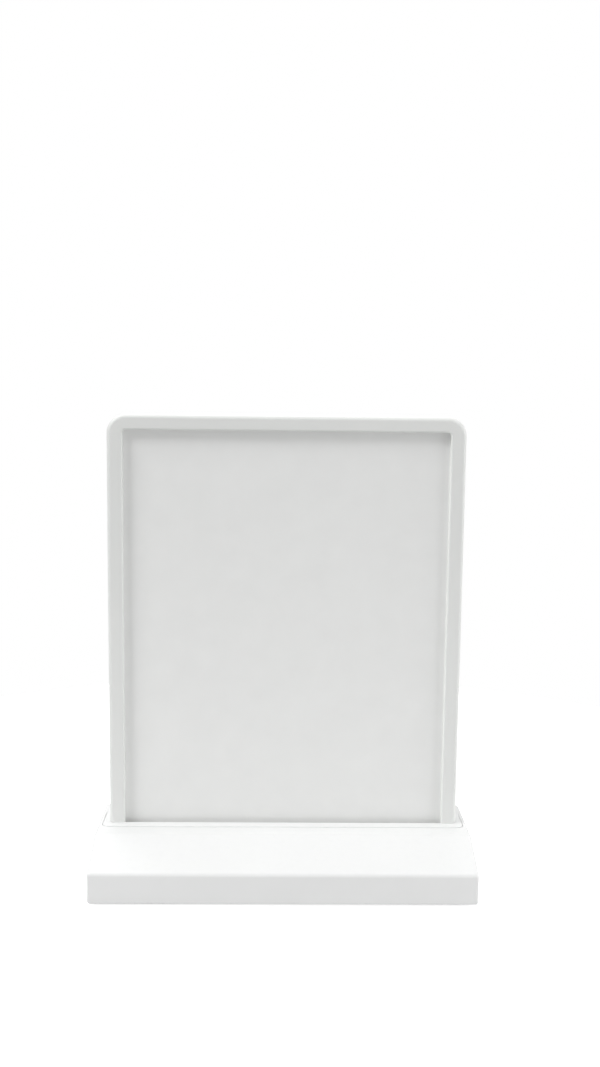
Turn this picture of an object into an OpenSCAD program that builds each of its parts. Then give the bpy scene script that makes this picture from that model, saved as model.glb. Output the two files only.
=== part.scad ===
// Desktop advertising light box: an edge-lit, double-sided display that stands in the socket of a low base.
// Sizes are in millimetres. The origin is the middle of the footprint on the table.
// +Z is up and the front is -Y.

/* [Insert sheet] */
// Width of the blank insert sheet on each side
sheet_w = 148; // [120:1:210]
// Height of the insert sheet, from its ledge in the socket to the top groove
sheet_h = 191.5; // [150:0.5:290]
// Thickness of the insert sheet
sheet_t = 0.25; // [0.15:0.05:0.4]

/* [Light guide] */
// Thickness of the clear light guide
guide_t = 3; // [2:0.1:5]
// Thickness of each opal diffuser panel
panel_t = 1.2; // [0.8:0.1:2]
// Thickness of the reflective tape on the guide's edges
tape_t = 0.15; // [0.05:0.05:0.25]

/* [Display frame] */
// Thickness of the lips in front of the sheets
lip_t = 3; // [2:0.1:4]
// Depth of the groove behind the lips
groove_d = 2.5; // [2:0.1:4]
// Solid rail outside the groove
rail_web = 4.3; // [3.4:0.1:8]
// Radius of the window's top corners
window_r = 1.7; // [1:0.1:6]
// Rounding of the outer edges
frame_edge_r = 2; // [0.8:0.1:3]
// Rounding of the window edges
window_edge_r = 0.8; // [0.3:0.1:1]
// Rounding of the lower outer corners of the legs
leg_corner_r = 1.5; // [0.5:0.1:2.5]
// Depth of the tongue in the socket
tongue_h = 13; // [9:0.5:15]
// Wall of the tongue in front of the groove
tongue_wall = 1.8; // [0.8:0.1:2.2]
// Wall of the tongue at its ends
tongue_end = 1; // [0.8:0.1:2]
// Height of the bars that tie the legs together in the socket
tie_h = 9; // [6:0.5:12]
// Height of the ledges that carry the guide, panels and sheets
ledge_h = 2; // [1.8:0.1:3]
// Diameter of the pegs between the frame halves
peg_d = 1.8; // [1.2:0.1:2.4]
// Length of the pegs
peg_l = 2.4; // [1.5:0.1:3.5]

/* [Base] */
// Base length past each end of the frame
base_margin = 5; // [3.5:0.1:12]
// Depth of the base, front to back
base_d = 84; // [76:1:110]
// Depth of the flat top
flat_d = 36.8; // [26:0.2:50]
// Height of the flat top above the underside
base_h = 22; // [21:0.5:30]
// Height of the upright front and rear faces
face_h = 13.3; // [12:0.1:18]
// Wall of the base shell
base_wall = 2.2; // [1.6:0.1:3]
// Rounding of the edges along the upright faces
corner_r = 2; // [1.5:0.1:4]
// Rounding of the flat top's edges
top_edge_r = 1.5; // [1.3:0.1:2.2]
// Rounding of the upright corners and the edges of the ends
end_r = 1; // [0.9:0.1:1.3]
// Chamfer round the underside
base_chamfer = 0.4; // [0.3:0.1:0.8]
// Thickness of the bottom cover
cover_t = 1.8; // [1.4:0.1:3]

/* [Socket] */
// Length of the collar past each end of the frame
collar_end = 3; // [2:0.1:3.4]
// Depth of the collar in front of and behind the frame
collar_side = 4; // [3:0.1:9]
// Corner radius of the collar
collar_r = 3.5; // [1:0.1:6]
// Thickness of the collar plate
collar_t = 1.4; // [1:0.1:1.6]
// Height of the collar above the flat top
collar_proud = 0.3; // [0.1:0.1:0.6]
// Wall of the well below the collar
well_wall = 1.4; // [1:0.1:2]
// Width of a snap tab of the well
snap_w = 8; // [4:0.5:16]
// Reach of a snap tab under the flat top
snap_reach = 0.8; // [0.5:0.1:1.2]

/* [Lighting] */
// Distance from each end of the LED board to the window's edge
led_end = 3.2; // [1:0.1:20]
// Width of the LED board
led_board_w = 5; // [4:0.1:5.4]
// Thickness of the LED board
led_board_t = 1; // [0.6:0.1:1.2]
// Number of LEDs
led_count = 17; // [6:1:24]
// Length of an LED package
led_l = 3.5; // [2:0.1:4]
// Width of an LED package
led_w = 2.8; // [1.2:0.1:3.5]
// Height of an LED package
led_h = 0.7; // [0.4:0.1:0.8]

/* [Battery] */
// Length of the pouch cell
cell_l = 70; // [40:1:90]
// Width of the pouch cell
cell_w = 22; // [14:0.5:26]
// Thickness of the pouch cell
cell_t = 8; // [4:0.1:9]
// Thickness of the foam pad under the cell
pad_t = 0.8; // [0.4:0.1:1.5]
// Height of the fence ribs round the cell
fence_h = 4.5; // [2:0.1:7]
// Thickness of the fence ribs
fence_t = 1.2; // [0.8:0.1:2]

/* [Control board] */
// Length of the control board
board_w = 56; // [50:1:80]
// Depth of the control board
board_d = 24; // [22:0.5:28]
// Thickness of the control board
board_t = 1.6; // [1:0.1:2]
// Room below the control board
board_lift = 1.6; // [1.3:0.1:3]
// Diameter of the bosses that carry the board
board_boss_d = 5; // [4:0.1:7]

/* [Button] */
// Distance of the button and of the charging port from the middle
port_x = 14; // [11:0.5:17]
// Diameter of the button cap
button_d = 7.6; // [6:0.1:8]
// Reach of the button's flange past the cap
button_flange = 0.8; // [0.5:0.1:0.9]
// Travel of the button
button_travel = 0.8; // [0.4:0.1:1]
// Depth of the finger dish round the button
dish_depth = 0.9; // [0.4:0.1:1]
// Diameter of the finger dish
dish_d = 10.4; // [9:0.1:11]
// Thickness of the pad behind the rear wall
button_pad_t = 1.2; // [0.8:0.1:2]
// Length of the switch body
switch_w = 7; // [5:0.1:9]
// Depth of the switch body
switch_d = 4; // [3:0.1:5]
// Width of the switch plunger
plunger_w = 2.4; // [1.5:0.1:4]
// Height of the switch plunger
plunger_h = 1.4; // [1:0.1:2]

/* [Charging port] */
// Width of the port's steel shell
port_w = 8.94; // [8.5:0.01:9.5]
// Height of the port's steel shell
port_h = 3.26; // [3:0.01:3.6]
// Length of the port's steel shell
port_l = 7.3; // [6:0.1:9]
// Sheet thickness of the port's steel shell
port_sheet = 0.35; // [0.25:0.05:0.4]
// Diameter of the charging lamp's light pipe
lens_d = 2; // [1.5:0.1:2.4]

/* [Feet and fasteners] */
// Diameter of a rubber foot
foot_d = 9; // [6:0.5:11]
// Height of the feet below the underside
foot_proud = 1; // [0.5:0.1:3]
// Depth of a foot's pocket
foot_pocket = 0.6; // [0.3:0.1:1]
// Distance of a foot's centre from the ends and sides
foot_inset = 7.5; // [7:0.1:12]
// Diameter of a screw's shank
screw_d = 2.5; // [2:0.1:3]
// Length of a cover screw below its head
screw_l = 9; // [6:0.5:10]
// Diameter of a cover screw's head
screw_head_d = 4.8; // [4:0.1:5.4]
// Height of a cover screw's head
screw_head_h = 1.6; // [1:0.1:1.8]
// Height of a cover boss above the cover
screw_pad_h = 2; // [1.6:0.1:3]
// Distance of a cover screw from the ends
screw_inset_x = 17.5; // [16:0.5:30]
// Distance of a cover screw from the front and the rear
screw_inset_y = 14; // [12:0.5:16]
// Diameter of a board screw's shank
board_screw_d = 1.9; // [1.4:0.1:2.2]
// Length of a board screw below its head
board_screw_l = 6; // [4:0.5:8]
// Height of a board screw's head
board_screw_head_h = 1; // [0.8:0.1:1.1]

/* [Leads] */
// Diameter of a lead
lead_d = 1.2; // [0.8:0.1:1.4]
// Distance between the two leads of a pair
lead_pitch = 2; // [1.6:0.1:2.4]

/* [Clearances] */
// Gap between the layers of the display
layer_gap = 0.02; // [0.01:0.01:0.05]
// Gap between a sheet and the sides of the groove
sheet_gap = 0.7; // [0.4:0.1:1]
// Gap between a sheet and the top of the groove
sheet_top_gap = 0.5; // [0.3:0.1:1]
// Gap between a panel or the guide and the groove
panel_gap = 0.2; // [0.1:0.05:0.3]
// Gap round the tongue in the socket
tongue_gap = 0.3; // [0.2:0.05:0.5]
// Gap round the collar, the cover and the well
seam_gap = 0.2; // [0.1:0.05:0.3]
// Gap round the button in its bore
button_gap = 0.25; // [0.15:0.05:0.4]
// Gap round pegs and screws in their holes
peg_gap = 0.05; // [0.02:0.01:0.1]
// Gap round the cell, the port and the lens
part_gap = 0.2; // [0.1:0.05:0.4]

/* [Hidden] */
$fn = 64;
hull_fn = 32;
end_steps = 4;
cut = 1;
tiny = 0.00001;

// Layers of the display, measured from its middle plane
panel_y = guide_t / 2 + layer_gap;
sheet_y = panel_y + panel_t + layer_gap;
groove_y = sheet_y + sheet_t + layer_gap;
frame_y = groove_y + lip_t;
tongue_y = groove_y + tongue_wall;

// Widths of the display, measured from its middle
groove_x = sheet_w / 2 + sheet_gap;
window_x = groove_x - groove_d;
frame_x = groove_x + rail_web;
tongue_x = groove_x + tongue_end;
rail_w = groove_d + rail_web;

// Heights of the base
under_z = foot_proud;
face_z = under_z + face_h;
top_z = under_z + base_h;
cover_z = under_z + cover_t;
shoulder_z = top_z + collar_proud;

// Heights of the display
tongue_z = shoulder_z - tongue_h;
ledge_z = tongue_z + ledge_h;
sheet_z = ledge_z + sheet_h;
groove_z = sheet_z + sheet_top_gap;
window_z = groove_z - groove_d;
bend_z = window_z - window_r;
bend_x = window_x - window_r;
layer_r = window_r + groove_d;

// Pegs along the legs and the top rail
peg_x = groove_x + rail_web / 2;
peg_z = groove_z + rail_web / 2;
peg_end = 18;
leg_pegs = 4;
top_pegs = 3;
leg_peg_step = (bend_z - shoulder_z - 2 * peg_end) / (leg_pegs - 1);
top_peg_step = (2 * bend_x - 2 * peg_end) / (top_pegs - 1);
peg_floor = 0.3;

// Base outline
base_x = frame_x + base_margin;
base_y = base_d / 2;
flat_y = flat_d / 2;
inner_x = base_x - base_wall;
inner_y = base_y - base_wall;
ceiling_z = top_z - base_wall;

// Socket and lighting
collar_x = frame_x + collar_end;
collar_y = frame_y + collar_side;
collar_z = shoulder_z - collar_t;
slot_x = tongue_x + tongue_gap;
slot_y = tongue_y + tongue_gap;
well_x = slot_x + well_wall;
well_y = slot_y + well_wall;
floor_z = tongue_z - tongue_gap;
well_z = floor_z - well_wall;
led_z = floor_z + led_board_t;
led_board_l = 2 * (window_x - led_end);
led_step = led_board_l / led_count;
snap_end = 25;
snap_x = slot_x - snap_end;
snap_h = 1.5;
lead_hole_end = 9;
lead_hole_x = -led_board_l / 2 + lead_hole_end;
lead_hole_d = 2 * lead_d + lead_pitch;

// Battery compartment in front of the well
cell_y = -(inner_y + well_y) / 2;
cell_z = cover_z + pad_t;
cell_edge_r = 2;

// Control board behind the well
board_z = cover_z + board_lift;
board_top = board_z + board_t;
port_z = board_top + port_h / 2;
board_wall_gap = 1;
board_back = inner_y - board_wall_gap;
board_front = board_back - board_d;
boss_edge = 1;
boss_x = board_w / 2 - board_boss_d / 2 - boss_edge;
boss_y = board_front + board_boss_d / 2 + boss_edge;

// Button and switch
pad_y = inner_y - button_pad_t;
flange_gap = 0.1;
flange_y = pad_y - flange_gap;
flange_t = 1.3;
plunger_y = flange_y - flange_t;
pressed_gap = 0.9;
plunger_out = button_travel + pressed_gap;
plunger_in = 1.2;
switch_y = plunger_y - plunger_out;
pad_edge = 1;
pad_w = dish_d + 2 * pad_edge;
notch_w = pad_w + 2 * part_gap;
cap_y = base_y - part_gap;
dish_r = (dish_d * dish_d / 4 + dish_depth * dish_depth) / (2 * dish_depth);

// Headers and plugs at the front edge of the control board
header_x = 12;
header_w = 6;
header_d = 4.5;
header_h = 4.2;
plug_d = 3;
plug_margin = 0.5;
plug_y = board_front - plug_d;
lead_z = board_top + header_h / 2;

// Parts on the control board: their sizes, and their places from the board's middle
controller_l = 5;
controller_d = 4;
controller_h = 1.5;
coil_w = 4;
coil_h = 2;
driver_w = 3;
driver_h = 1;
capacitor_l = 2;
capacitor_d = 1.2;
capacitor_h = 1;
resistor_l = 1.6;
resistor_d = 0.8;
resistor_h = 0.7;
chip_dx = 7;
chip_dy = 2;
small_dx = 4;
small_dy = 5;
lamp_edge = 2;

// Light pipe of the charging lamp
lens_in = 2;
lens_flange_t = 1;
lens_flange_edge = 0.4;

// Fasteners
screw_x = base_x - screw_inset_x;
screw_y = base_y - screw_inset_y;
boss_z = cover_z + screw_pad_h;
boss_wall = 1.8;
screw_boss_d = screw_d + 2 * boss_wall;
head_gap = 0.3;
head_pocket_d = screw_head_d + 2 * head_gap;
head_z = under_z + screw_head_h + head_gap;
foot_x = base_x - foot_inset;
foot_y = base_y - foot_inset;

// Routes of the two pairs of leads, as the middle line of each pair
under_well_z = (cover_z + well_z) / 2;
cell_lead_z = cell_z + cell_t / 2 + 1;
battery_route = [
    [cell_l / 2, cell_y, cell_lead_z],
    [cell_l / 2 + 1, cell_y, cell_lead_z],
    [cell_l / 2 + 2, cell_y, cell_lead_z],
    [cell_l / 2 + 10, cell_y + 6, under_well_z + 0.5],
    [cell_l / 2 + 8, 0, under_well_z],
    [header_x + 10, plug_y - 4, under_well_z + 0.5],
    [header_x, plug_y - 2, lead_z],
    [header_x, plug_y - 1, lead_z],
    [header_x, plug_y, lead_z]
];
led_route = [
    [lead_hole_x, 0, floor_z],
    [lead_hole_x, 0, floor_z - well_wall / 2],
    [lead_hole_x, 0, well_z],
    [lead_hole_x + 4, 2, under_well_z],
    [-header_x - 10, plug_y - 4, under_well_z + 0.5],
    [-header_x, plug_y - 2, lead_z],
    [-header_x, plug_y - 1, lead_z],
    [-header_x, plug_y, lead_z]
];
lead_sides = 8;
lead_steps = 2;

white = [0.9, 0.9, 0.89];
dark = [0.08, 0.08, 0.09];
steel = [0.72, 0.73, 0.75];

// Point of a convex outline moved inwards by r along both of its edges' outward normals
function edge_normal(a, b) = [b[1] - a[1], a[0] - b[0]] / norm(b - a);
function inset_corner(a, b, c, r) =
    let (n1 = edge_normal(a, b), n2 = edge_normal(b, c))
    b - r * (n1 + n2) / (1 + n1 * n2);

// Outline of the base seen from its end, anticlockwise, as [y, z]
base_outline = [
    [-base_y, under_z], [base_y, under_z], [base_y, face_z],
    [flat_y, top_z], [-flat_y, top_z], [-base_y, face_z]
];
function base_inset(r) =
    [for (i = [0:5]) inset_corner(base_outline[(i + 5) % 6], base_outline[i], base_outline[(i + 1) % 6], r)];

// Smooth route through hand-set points
function route_at(p, i, t) =
    let (
        n = len(p) - 1,
        a = p[max(i - 1, 0)],
        b = p[i],
        c = p[min(i + 1, n)],
        d = p[min(i + 2, n)]
    )
    0.5 * (2 * b + (c - a) * t + (2 * a - 5 * b + 4 * c - d) * t * t + (3 * b - a - 3 * c + d) * t * t * t);
function route_points(p) =
    [for (i = [0:len(p) - 2], k = [0:lead_steps - 1]) route_at(p, i, k / lead_steps), p[len(p) - 1]];
// Route moved sideways, level and square to its run; the side of an upright run is +X
function sideways(p, i) =
    let (
        along = p[min(i + 1, len(p) - 1)] - p[max(i - 1, 0)],
        level = [along[1] + tiny, -along[0], 0]
    )
    level / norm(level);
function shifted(p, d) = [for (i = [0:len(p) - 1]) p[i] + d * sideways(p, i)];

module at_corners(x, y) {
    for (sx = [-1, 1], sy = [-1, 1])
        translate([sx * x, sy * y, 0])
            children();
}

module round_plate(x, y, z0, z1, r) {
    translate([0, 0, z0])
        linear_extrude(z1 - z0)
            union() {
                square([2 * x, 2 * (y - r)], center = true);
                square([2 * (x - r), 2 * y], center = true);
                at_corners(x - r, y - r)
                    circle(r);
            }
}

module box(x0, x1, y0, y1, z0, z1) {
    translate([x0, y0, z0])
        cube([x1 - x0, y1 - y0, z1 - z0]);
}

// Cylinder along +Y from y0 to y1
module rod_y(x, z, d, y0, y1) {
    translate([x, y0, z])
        rotate([-90, 0, 0])
            cylinder(d = d, h = y1 - y0);
}

// Flat-sided outline with round ends, extruded along +Y
module stadium_y(x, z, w, h, y0, y1) {
    translate([x, y1, z])
        rotate([90, 0, 0])
            linear_extrude(y1 - y0)
                union() {
                    square([w - h, h], center = true);
                    for (s = [-1, 1])
                        translate([s * (w - h) / 2, 0])
                            circle(d = h);
                }
}

// Corner left between a square corner at the origin and a rounding that touches +X and +Y
module rounding(r) {
    difference() {
        translate([-cut, -cut])
            square(r + cut);
        translate([r, r])
            circle(r);
    }
}

// Prism of an end outline between the two ends of a length along X
module end_prism(outline, x) {
    translate([-x, 0, 0])
        rotate([90, 0, 90])
            linear_extrude(2 * x)
                polygon(outline);
}

// Round lead along a route, with its end faces square to the route's first and last stretch
module lead(route) {
    p = route_points(route);
    n = len(p);
    m = len(route);
    guide = [1, -1, 1];
    rings = [
        for (i = [0:n - 1])
            let (
                along = i == 0 ? route[1] - route[0]
                    : i == n - 1 ? route[m - 1] - route[m - 2]
                    : p[i + 1] - p[i - 1],
                side = cross(along, guide) / norm(cross(along, guide)),
                over = cross(side, along) / norm(cross(side, along))
            )
            for (k = [0:lead_sides - 1])
                p[i] + lead_d / 2 * (side * cos(360 * k / lead_sides) + over * sin(360 * k / lead_sides))
    ];
    walls = [
        for (i = [0:n - 2], k = [0:lead_sides - 1])
            let (a = i * lead_sides + k, b = i * lead_sides + (k + 1) % lead_sides)
            each [[a, a + lead_sides, b], [b, a + lead_sides, b + lead_sides]]
    ];
    first = [for (k = [1:lead_sides - 2]) [0, k, k + 1]];
    last_ring = (n - 1) * lead_sides;
    last = [for (k = [1:lead_sides - 2]) [last_ring, last_ring + k + 1, last_ring + k]];
    polyhedron(rings, concat(walls, first, last));
}

// Base shell: an upper housing, open underneath
module edge_end(y, z, r) {
    for (k = [0:end_steps - 1]) {
        from = 90 * k / end_steps;
        to = 90 * (k + 1) / end_steps;
        translate([base_x - end_r + end_r * sin(from), y, z])
            rotate([0, 90, 0])
                cylinder(r1 = r - end_r + end_r * cos(from), r2 = r - end_r + end_r * cos(to),
                    h = end_r * (sin(to) - sin(from)), $fn = hull_fn);
    }
}

module base_body() {
    faces = base_inset(corner_r);
    tops = base_inset(top_edge_r);
    hull()
        for (side = [0, 1], sy = [-1, 1])
            mirror([side, 0, 0]) {
                translate([base_x - end_r, sy * (base_y - end_r), under_z])
                    cylinder(r1 = end_r - base_chamfer, r2 = end_r, h = base_chamfer, $fn = hull_fn);
                edge_end(sy * faces[2][0], faces[2][1], corner_r);
                edge_end(sy * tops[3][0], tops[3][1], top_edge_r);
            }
}

module shell_bosses() {
    intersection() {
        union() {
            at_corners(screw_x, screw_y)
                translate([0, 0, boss_z])
                    cylinder(d = screw_boss_d, h = top_z);
            for (sx = [-1, 1])
                translate([sx * boss_x, boss_y, board_top])
                    cylinder(d = board_boss_d, h = top_z);
        }
        end_prism(base_inset(base_wall / 2), inner_x);
    }
}

module base_shell() {
    inner = base_inset(base_wall);
    color(white)
        difference() {
            union() {
                difference() {
                    base_body();
                    end_prism([[-inner_y, 0], [inner_y, 0], inner[2], inner[3], inner[4], inner[5]], inner_x);
                }
                shell_bosses();
                box(-port_x - pad_w / 2, -port_x + pad_w / 2, pad_y, inner_y + base_wall / 2,
                    cover_z + part_gap, port_z + dish_d / 2);
            }
            round_plate(collar_x + seam_gap, collar_y + seam_gap, collar_z, top_z + cut, collar_r + seam_gap);
            box(-well_x - seam_gap, well_x + seam_gap, -well_y - seam_gap, well_y + seam_gap,
                ceiling_z - cut, top_z + cut);
            at_corners(screw_x, screw_y)
                translate([0, 0, boss_z - cut])
                    cylinder(d = screw_d + 2 * peg_gap, h = head_z + screw_l + head_gap - boss_z + cut);
            for (sx = [-1, 1])
                translate([sx * boss_x, boss_y, board_top - cut])
                    cylinder(d = board_screw_d + 2 * peg_gap, h = board_screw_l - board_t + head_gap + cut);
            rod_y(-port_x, port_z, button_d + 2 * button_gap, pad_y - cut, base_y + cut);
            translate([-port_x, base_y - dish_depth + dish_r, port_z])
                sphere(dish_r);
            stadium_y(port_x, port_z, port_w + 2 * part_gap, port_h + 2 * part_gap,
                inner_y - cut, base_y + cut);
            rod_y(0, port_z, lens_d + 2 * peg_gap, inner_y - cut, base_y + cut);
        }
}

module bottom_cover() {
    x = inner_x - seam_gap;
    y = inner_y - seam_gap;
    fence_x = cell_l / 2 + part_gap;
    fence_y = cell_w / 2 + part_gap;
    color(white)
        difference() {
            union() {
                round_plate(x, y, under_z, cover_z, corner_r);
                at_corners(screw_x, screw_y)
                    translate([0, 0, cover_z - cover_t / 2])
                        cylinder(d = head_pocket_d + 2 * boss_wall, h = boss_z - cover_z + cover_t / 2);
                difference() {
                    box(-fence_x - fence_t, fence_x + fence_t,
                        cell_y - fence_y - fence_t, cell_y + fence_y + fence_t,
                        cover_z - cover_t / 2, cover_z + fence_h);
                    box(-fence_x, fence_x, cell_y - fence_y, cell_y + fence_y,
                        cover_z, cover_z + fence_h + cut);
                }
            }
            at_corners(screw_x, screw_y) {
                translate([0, 0, under_z - cut])
                    cylinder(d = head_pocket_d, h = head_z - under_z + cut);
                translate([0, 0, under_z])
                    cylinder(d = screw_d + 2 * head_gap, h = boss_z);
            }
            at_corners(foot_x, foot_y)
                translate([0, 0, under_z - cut])
                    cylinder(d = foot_d + 2 * part_gap, h = foot_pocket + cut);
        }
}

module socket_collar() {
    color(white)
        difference() {
            union() {
                round_plate(collar_x, collar_y, collar_z, shoulder_z, collar_r);
                box(-well_x, well_x, -well_y, well_y, well_z, collar_z + collar_t / 2);
                for (sx = [-1, 1])
                    box(sx * snap_x - snap_w / 2, sx * snap_x + snap_w / 2,
                        -well_y - snap_reach, well_y + snap_reach,
                        ceiling_z - snap_h - seam_gap, ceiling_z - seam_gap);
            }
            box(-slot_x, slot_x, -slot_y, slot_y, floor_z, shoulder_z + cut);
            translate([lead_hole_x, 0, well_z - cut])
                cylinder(d = lead_hole_d, h = well_wall + 2 * cut);
        }
}

module rubber_feet() {
    color(dark)
        at_corners(foot_x, foot_y)
            cylinder(d = foot_d, h = foot_proud + foot_pocket);
}

// Pan-head screw, its head's seat at the origin and its shank upwards, with a cross recess
module screw(d, l, head_d, head_h) {
    recess = head_d / 2;
    recess_t = head_d / 6;
    recess_h = head_h / 2;
    difference() {
        union() {
            translate([0, 0, -head_h])
                cylinder(d = head_d, h = head_h);
            translate([0, 0, -head_h / 2])
                cylinder(d = d, h = l + head_h / 2);
        }
        for (turn = [0, 90])
            rotate(turn)
                translate([-recess / 2, -recess_t / 2, -head_h - cut])
                    cube([recess, recess_t, recess_h + cut]);
    }
}

module cover_screws() {
    color(steel)
        at_corners(screw_x, screw_y)
            translate([0, 0, head_z])
                screw(screw_d, screw_l, screw_head_d, screw_head_h);
}

module battery_cell() {
    color([0.75, 0.76, 0.78])
        translate([-cell_l / 2, cell_y, cell_z])
            rotate([90, 0, 90])
                linear_extrude(cell_l)
                    difference() {
                        translate([-cell_w / 2, 0])
                            square([cell_w, cell_t]);
                        for (s = [0, 1], top = [0, 1])
                            mirror([s, 0])
                                translate([-cell_w / 2, top * cell_t])
                                    mirror([0, top])
                                        rounding(cell_edge_r);
                    }
}

module battery_pad() {
    x = cell_l / 2 - 2 * cell_edge_r;
    y = cell_w / 2 - cell_edge_r;
    color([0.3, 0.3, 0.32])
        box(-x, x, cell_y - y, cell_y + y, cover_z, cell_z);
}

module control_board() {
    color([0.1, 0.35, 0.2])
        difference() {
            box(-board_w / 2, board_w / 2, board_front, board_back, board_z, board_top);
            box(-port_x - notch_w / 2, -port_x + notch_w / 2, switch_y + part_gap, board_back + cut,
                board_z - cut, board_top + cut);
            for (sx = [-1, 1])
                translate([sx * boss_x, boss_y, board_z - cut])
                    cylinder(d = board_screw_d + 2 * part_gap, h = board_t + 2 * cut);
        }
}

module board_screws() {
    color(steel)
        for (sx = [-1, 1])
            translate([sx * boss_x, boss_y, board_z])
                screw(board_screw_d, board_screw_l, 2 * board_screw_d, board_screw_head_h);
}

// Charge controller, LED driver, coil, capacitors and the charging lamp, as [x, y, length, depth, height]
module board_chips() {
    middle = (board_front + board_back) / 2;
    parts = [
        [0, middle, controller_l, controller_d, controller_h],
        [chip_dx, middle - chip_dy, coil_w, coil_w, coil_h],
        [-chip_dx, middle - chip_dy, driver_w, driver_w, driver_h],
        [chip_dx, middle + chip_dy, capacitor_l, capacitor_d, capacitor_h],
        [0, middle - small_dy, capacitor_l, capacitor_d, capacitor_h],
        [small_dx, middle + small_dy, resistor_l, resistor_d, resistor_h],
        [-small_dx, middle + small_dy, resistor_l, resistor_d, resistor_h],
        [0, board_back - lamp_edge, resistor_l, resistor_d, resistor_h]
    ];
    color(dark)
        for (p = parts)
            box(p[0] - p[2] / 2, p[0] + p[2] / 2, p[1] - p[3] / 2, p[1] + p[3] / 2,
                board_top, board_top + p[4]);
}

module board_headers() {
    color([0.93, 0.91, 0.85])
        for (sx = [-1, 1])
            box(sx * header_x - header_w / 2, sx * header_x + header_w / 2,
                board_front, board_front + header_d, board_top, board_top + header_h);
}

module lead_plugs() {
    w = header_w - 2 * plug_margin;
    h = header_h - 2 * plug_margin;
    color([0.97, 0.96, 0.92])
        for (sx = [-1, 1])
            box(sx * header_x - w / 2, sx * header_x + w / 2, plug_y, board_front,
                lead_z - h / 2, lead_z + h / 2);
}

module leads(side) {
    lead(shifted(battery_route, side * lead_pitch / 2));
    lead(shifted(led_route, side * lead_pitch / 2));
}

module red_leads() {
    color([0.7, 0.08, 0.06])
        leads(1);
}

module black_leads() {
    color(dark)
        leads(-1);
}

module usb_port() {
    front = base_y - 2 * part_gap;
    color(steel)
        difference() {
            stadium_y(port_x, port_z, port_w, port_h, front - port_l, front);
            stadium_y(port_x, port_z, port_w - 2 * port_sheet, port_h - 2 * port_sheet,
                front - port_l + port_sheet, front + cut);
        }
}

module usb_tongue() {
    back = base_y - 2 * part_gap - port_l + port_sheet;
    root_l = 1.2;
    root_w = port_w - port_h;
    root_h = port_h - 2 * port_sheet;
    tongue_l = 5;
    tongue_t = 0.7;
    color(dark)
        union() {
            box(port_x - root_w / 2, port_x + root_w / 2, back, back + root_l,
                port_z - root_h / 2, port_z + root_h / 2);
            box(port_x - root_w / 2, port_x + root_w / 2, back, back + tongue_l,
                port_z - tongue_t / 2, port_z + tongue_t / 2);
        }
}

module charge_lens() {
    color([0.9, 0.92, 0.92])
        union() {
            rod_y(0, port_z, lens_d, inner_y - lens_in, base_y - part_gap);
            rod_y(0, port_z, lens_d + 2 * lens_flange_edge, inner_y - lens_flange_t, inner_y);
        }
}

module button_switch() {
    color(dark)
        difference() {
            box(-port_x - switch_w / 2, -port_x + switch_w / 2, switch_y - switch_d, switch_y,
                board_top, board_top + port_h);
            box(-port_x - plunger_w / 2 - part_gap, -port_x + plunger_w / 2 + part_gap,
                switch_y - plunger_in - button_travel - part_gap, switch_y + cut,
                port_z - plunger_h / 2 - part_gap, port_z + plunger_h / 2 + part_gap);
        }
}

module switch_plunger() {
    color([0.85, 0.85, 0.82])
        box(-port_x - plunger_w / 2, -port_x + plunger_w / 2, switch_y - plunger_in, plunger_y,
            port_z - plunger_h / 2, port_z + plunger_h / 2);
}

module power_button() {
    cap_edge = 0.4;
    color([0.82, 0.82, 0.81])
        union() {
            rod_y(-port_x, port_z, button_d + 2 * button_flange, plunger_y, flange_y);
            rod_y(-port_x, port_z, button_d, flange_y - flange_t / 2, cap_y - cap_edge);
            translate([-port_x, cap_y - cap_edge, port_z])
                rotate([-90, 0, 0])
                    cylinder(d1 = button_d, d2 = button_d - 2 * cap_edge, h = cap_edge);
        }
}

module led_board() {
    color([0.95, 0.95, 0.93])
        box(-led_board_l / 2, led_board_l / 2, -led_board_w / 2, led_board_w / 2, floor_z, led_z);
}

module leds() {
    color([0.95, 0.88, 0.45])
        for (i = [0:led_count - 1])
            translate([(i - (led_count - 1) / 2) * led_step, 0, led_z + led_h / 2])
                cube([led_l, led_w, led_h], center = true);
}

// Section of the front half of a rail: x outwards from the window, y from the front face to the middle plane
module rail_section() {
    difference() {
        translate([0, -frame_y])
            square([rail_w, frame_y]);
        translate([-cut, -groove_y])
            square([groove_d + cut, groove_y + cut]);
        translate([0, -frame_y])
            rounding(window_edge_r);
        translate([rail_w, -frame_y])
            mirror([1, 0])
                rounding(frame_edge_r);
    }
}

module tongue_section() {
    difference() {
        translate([0, -tongue_y])
            square([groove_d + tongue_end, tongue_y]);
        translate([-cut, -groove_y])
            square([groove_d + cut, groove_y + cut]);
    }
}

module frame_leg() {
    difference() {
        translate([window_x, 0, shoulder_z])
            linear_extrude(bend_z - shoulder_z)
                rail_section();
        translate([frame_x, cut, shoulder_z])
            rotate([90, 0, 0])
                linear_extrude(frame_y + 2 * cut)
                    mirror([1, 0])
                        rounding(leg_corner_r);
    }
    translate([window_x, 0, tongue_z])
        linear_extrude(tongue_h)
            tongue_section();
    box(window_x, groove_x + tongue_end / 2, -groove_y - tongue_wall / 2, 0, tongue_z, ledge_z);
}

module frame_bend() {
    translate([bend_x, 0, bend_z])
        rotate([-90, 0, 0])
            rotate([0, 0, -90])
                rotate_extrude(angle = 90)
                    translate([window_r, 0])
                        rail_section();
}

// Front half of the frame: two legs, two bends, the top rail and the bar across the tongue
module frame_half() {
    for (side = [0, 1])
        mirror([side, 0, 0]) {
            frame_leg();
            frame_bend();
        }
    translate([bend_x, 0, window_z])
        rotate([0, -90, 0])
            linear_extrude(2 * bend_x)
                rail_section();
    box(-window_x - groove_d / 2, window_x + groove_d / 2, -tongue_y, -groove_y, tongue_z, tongue_z + tie_h);
}

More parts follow.
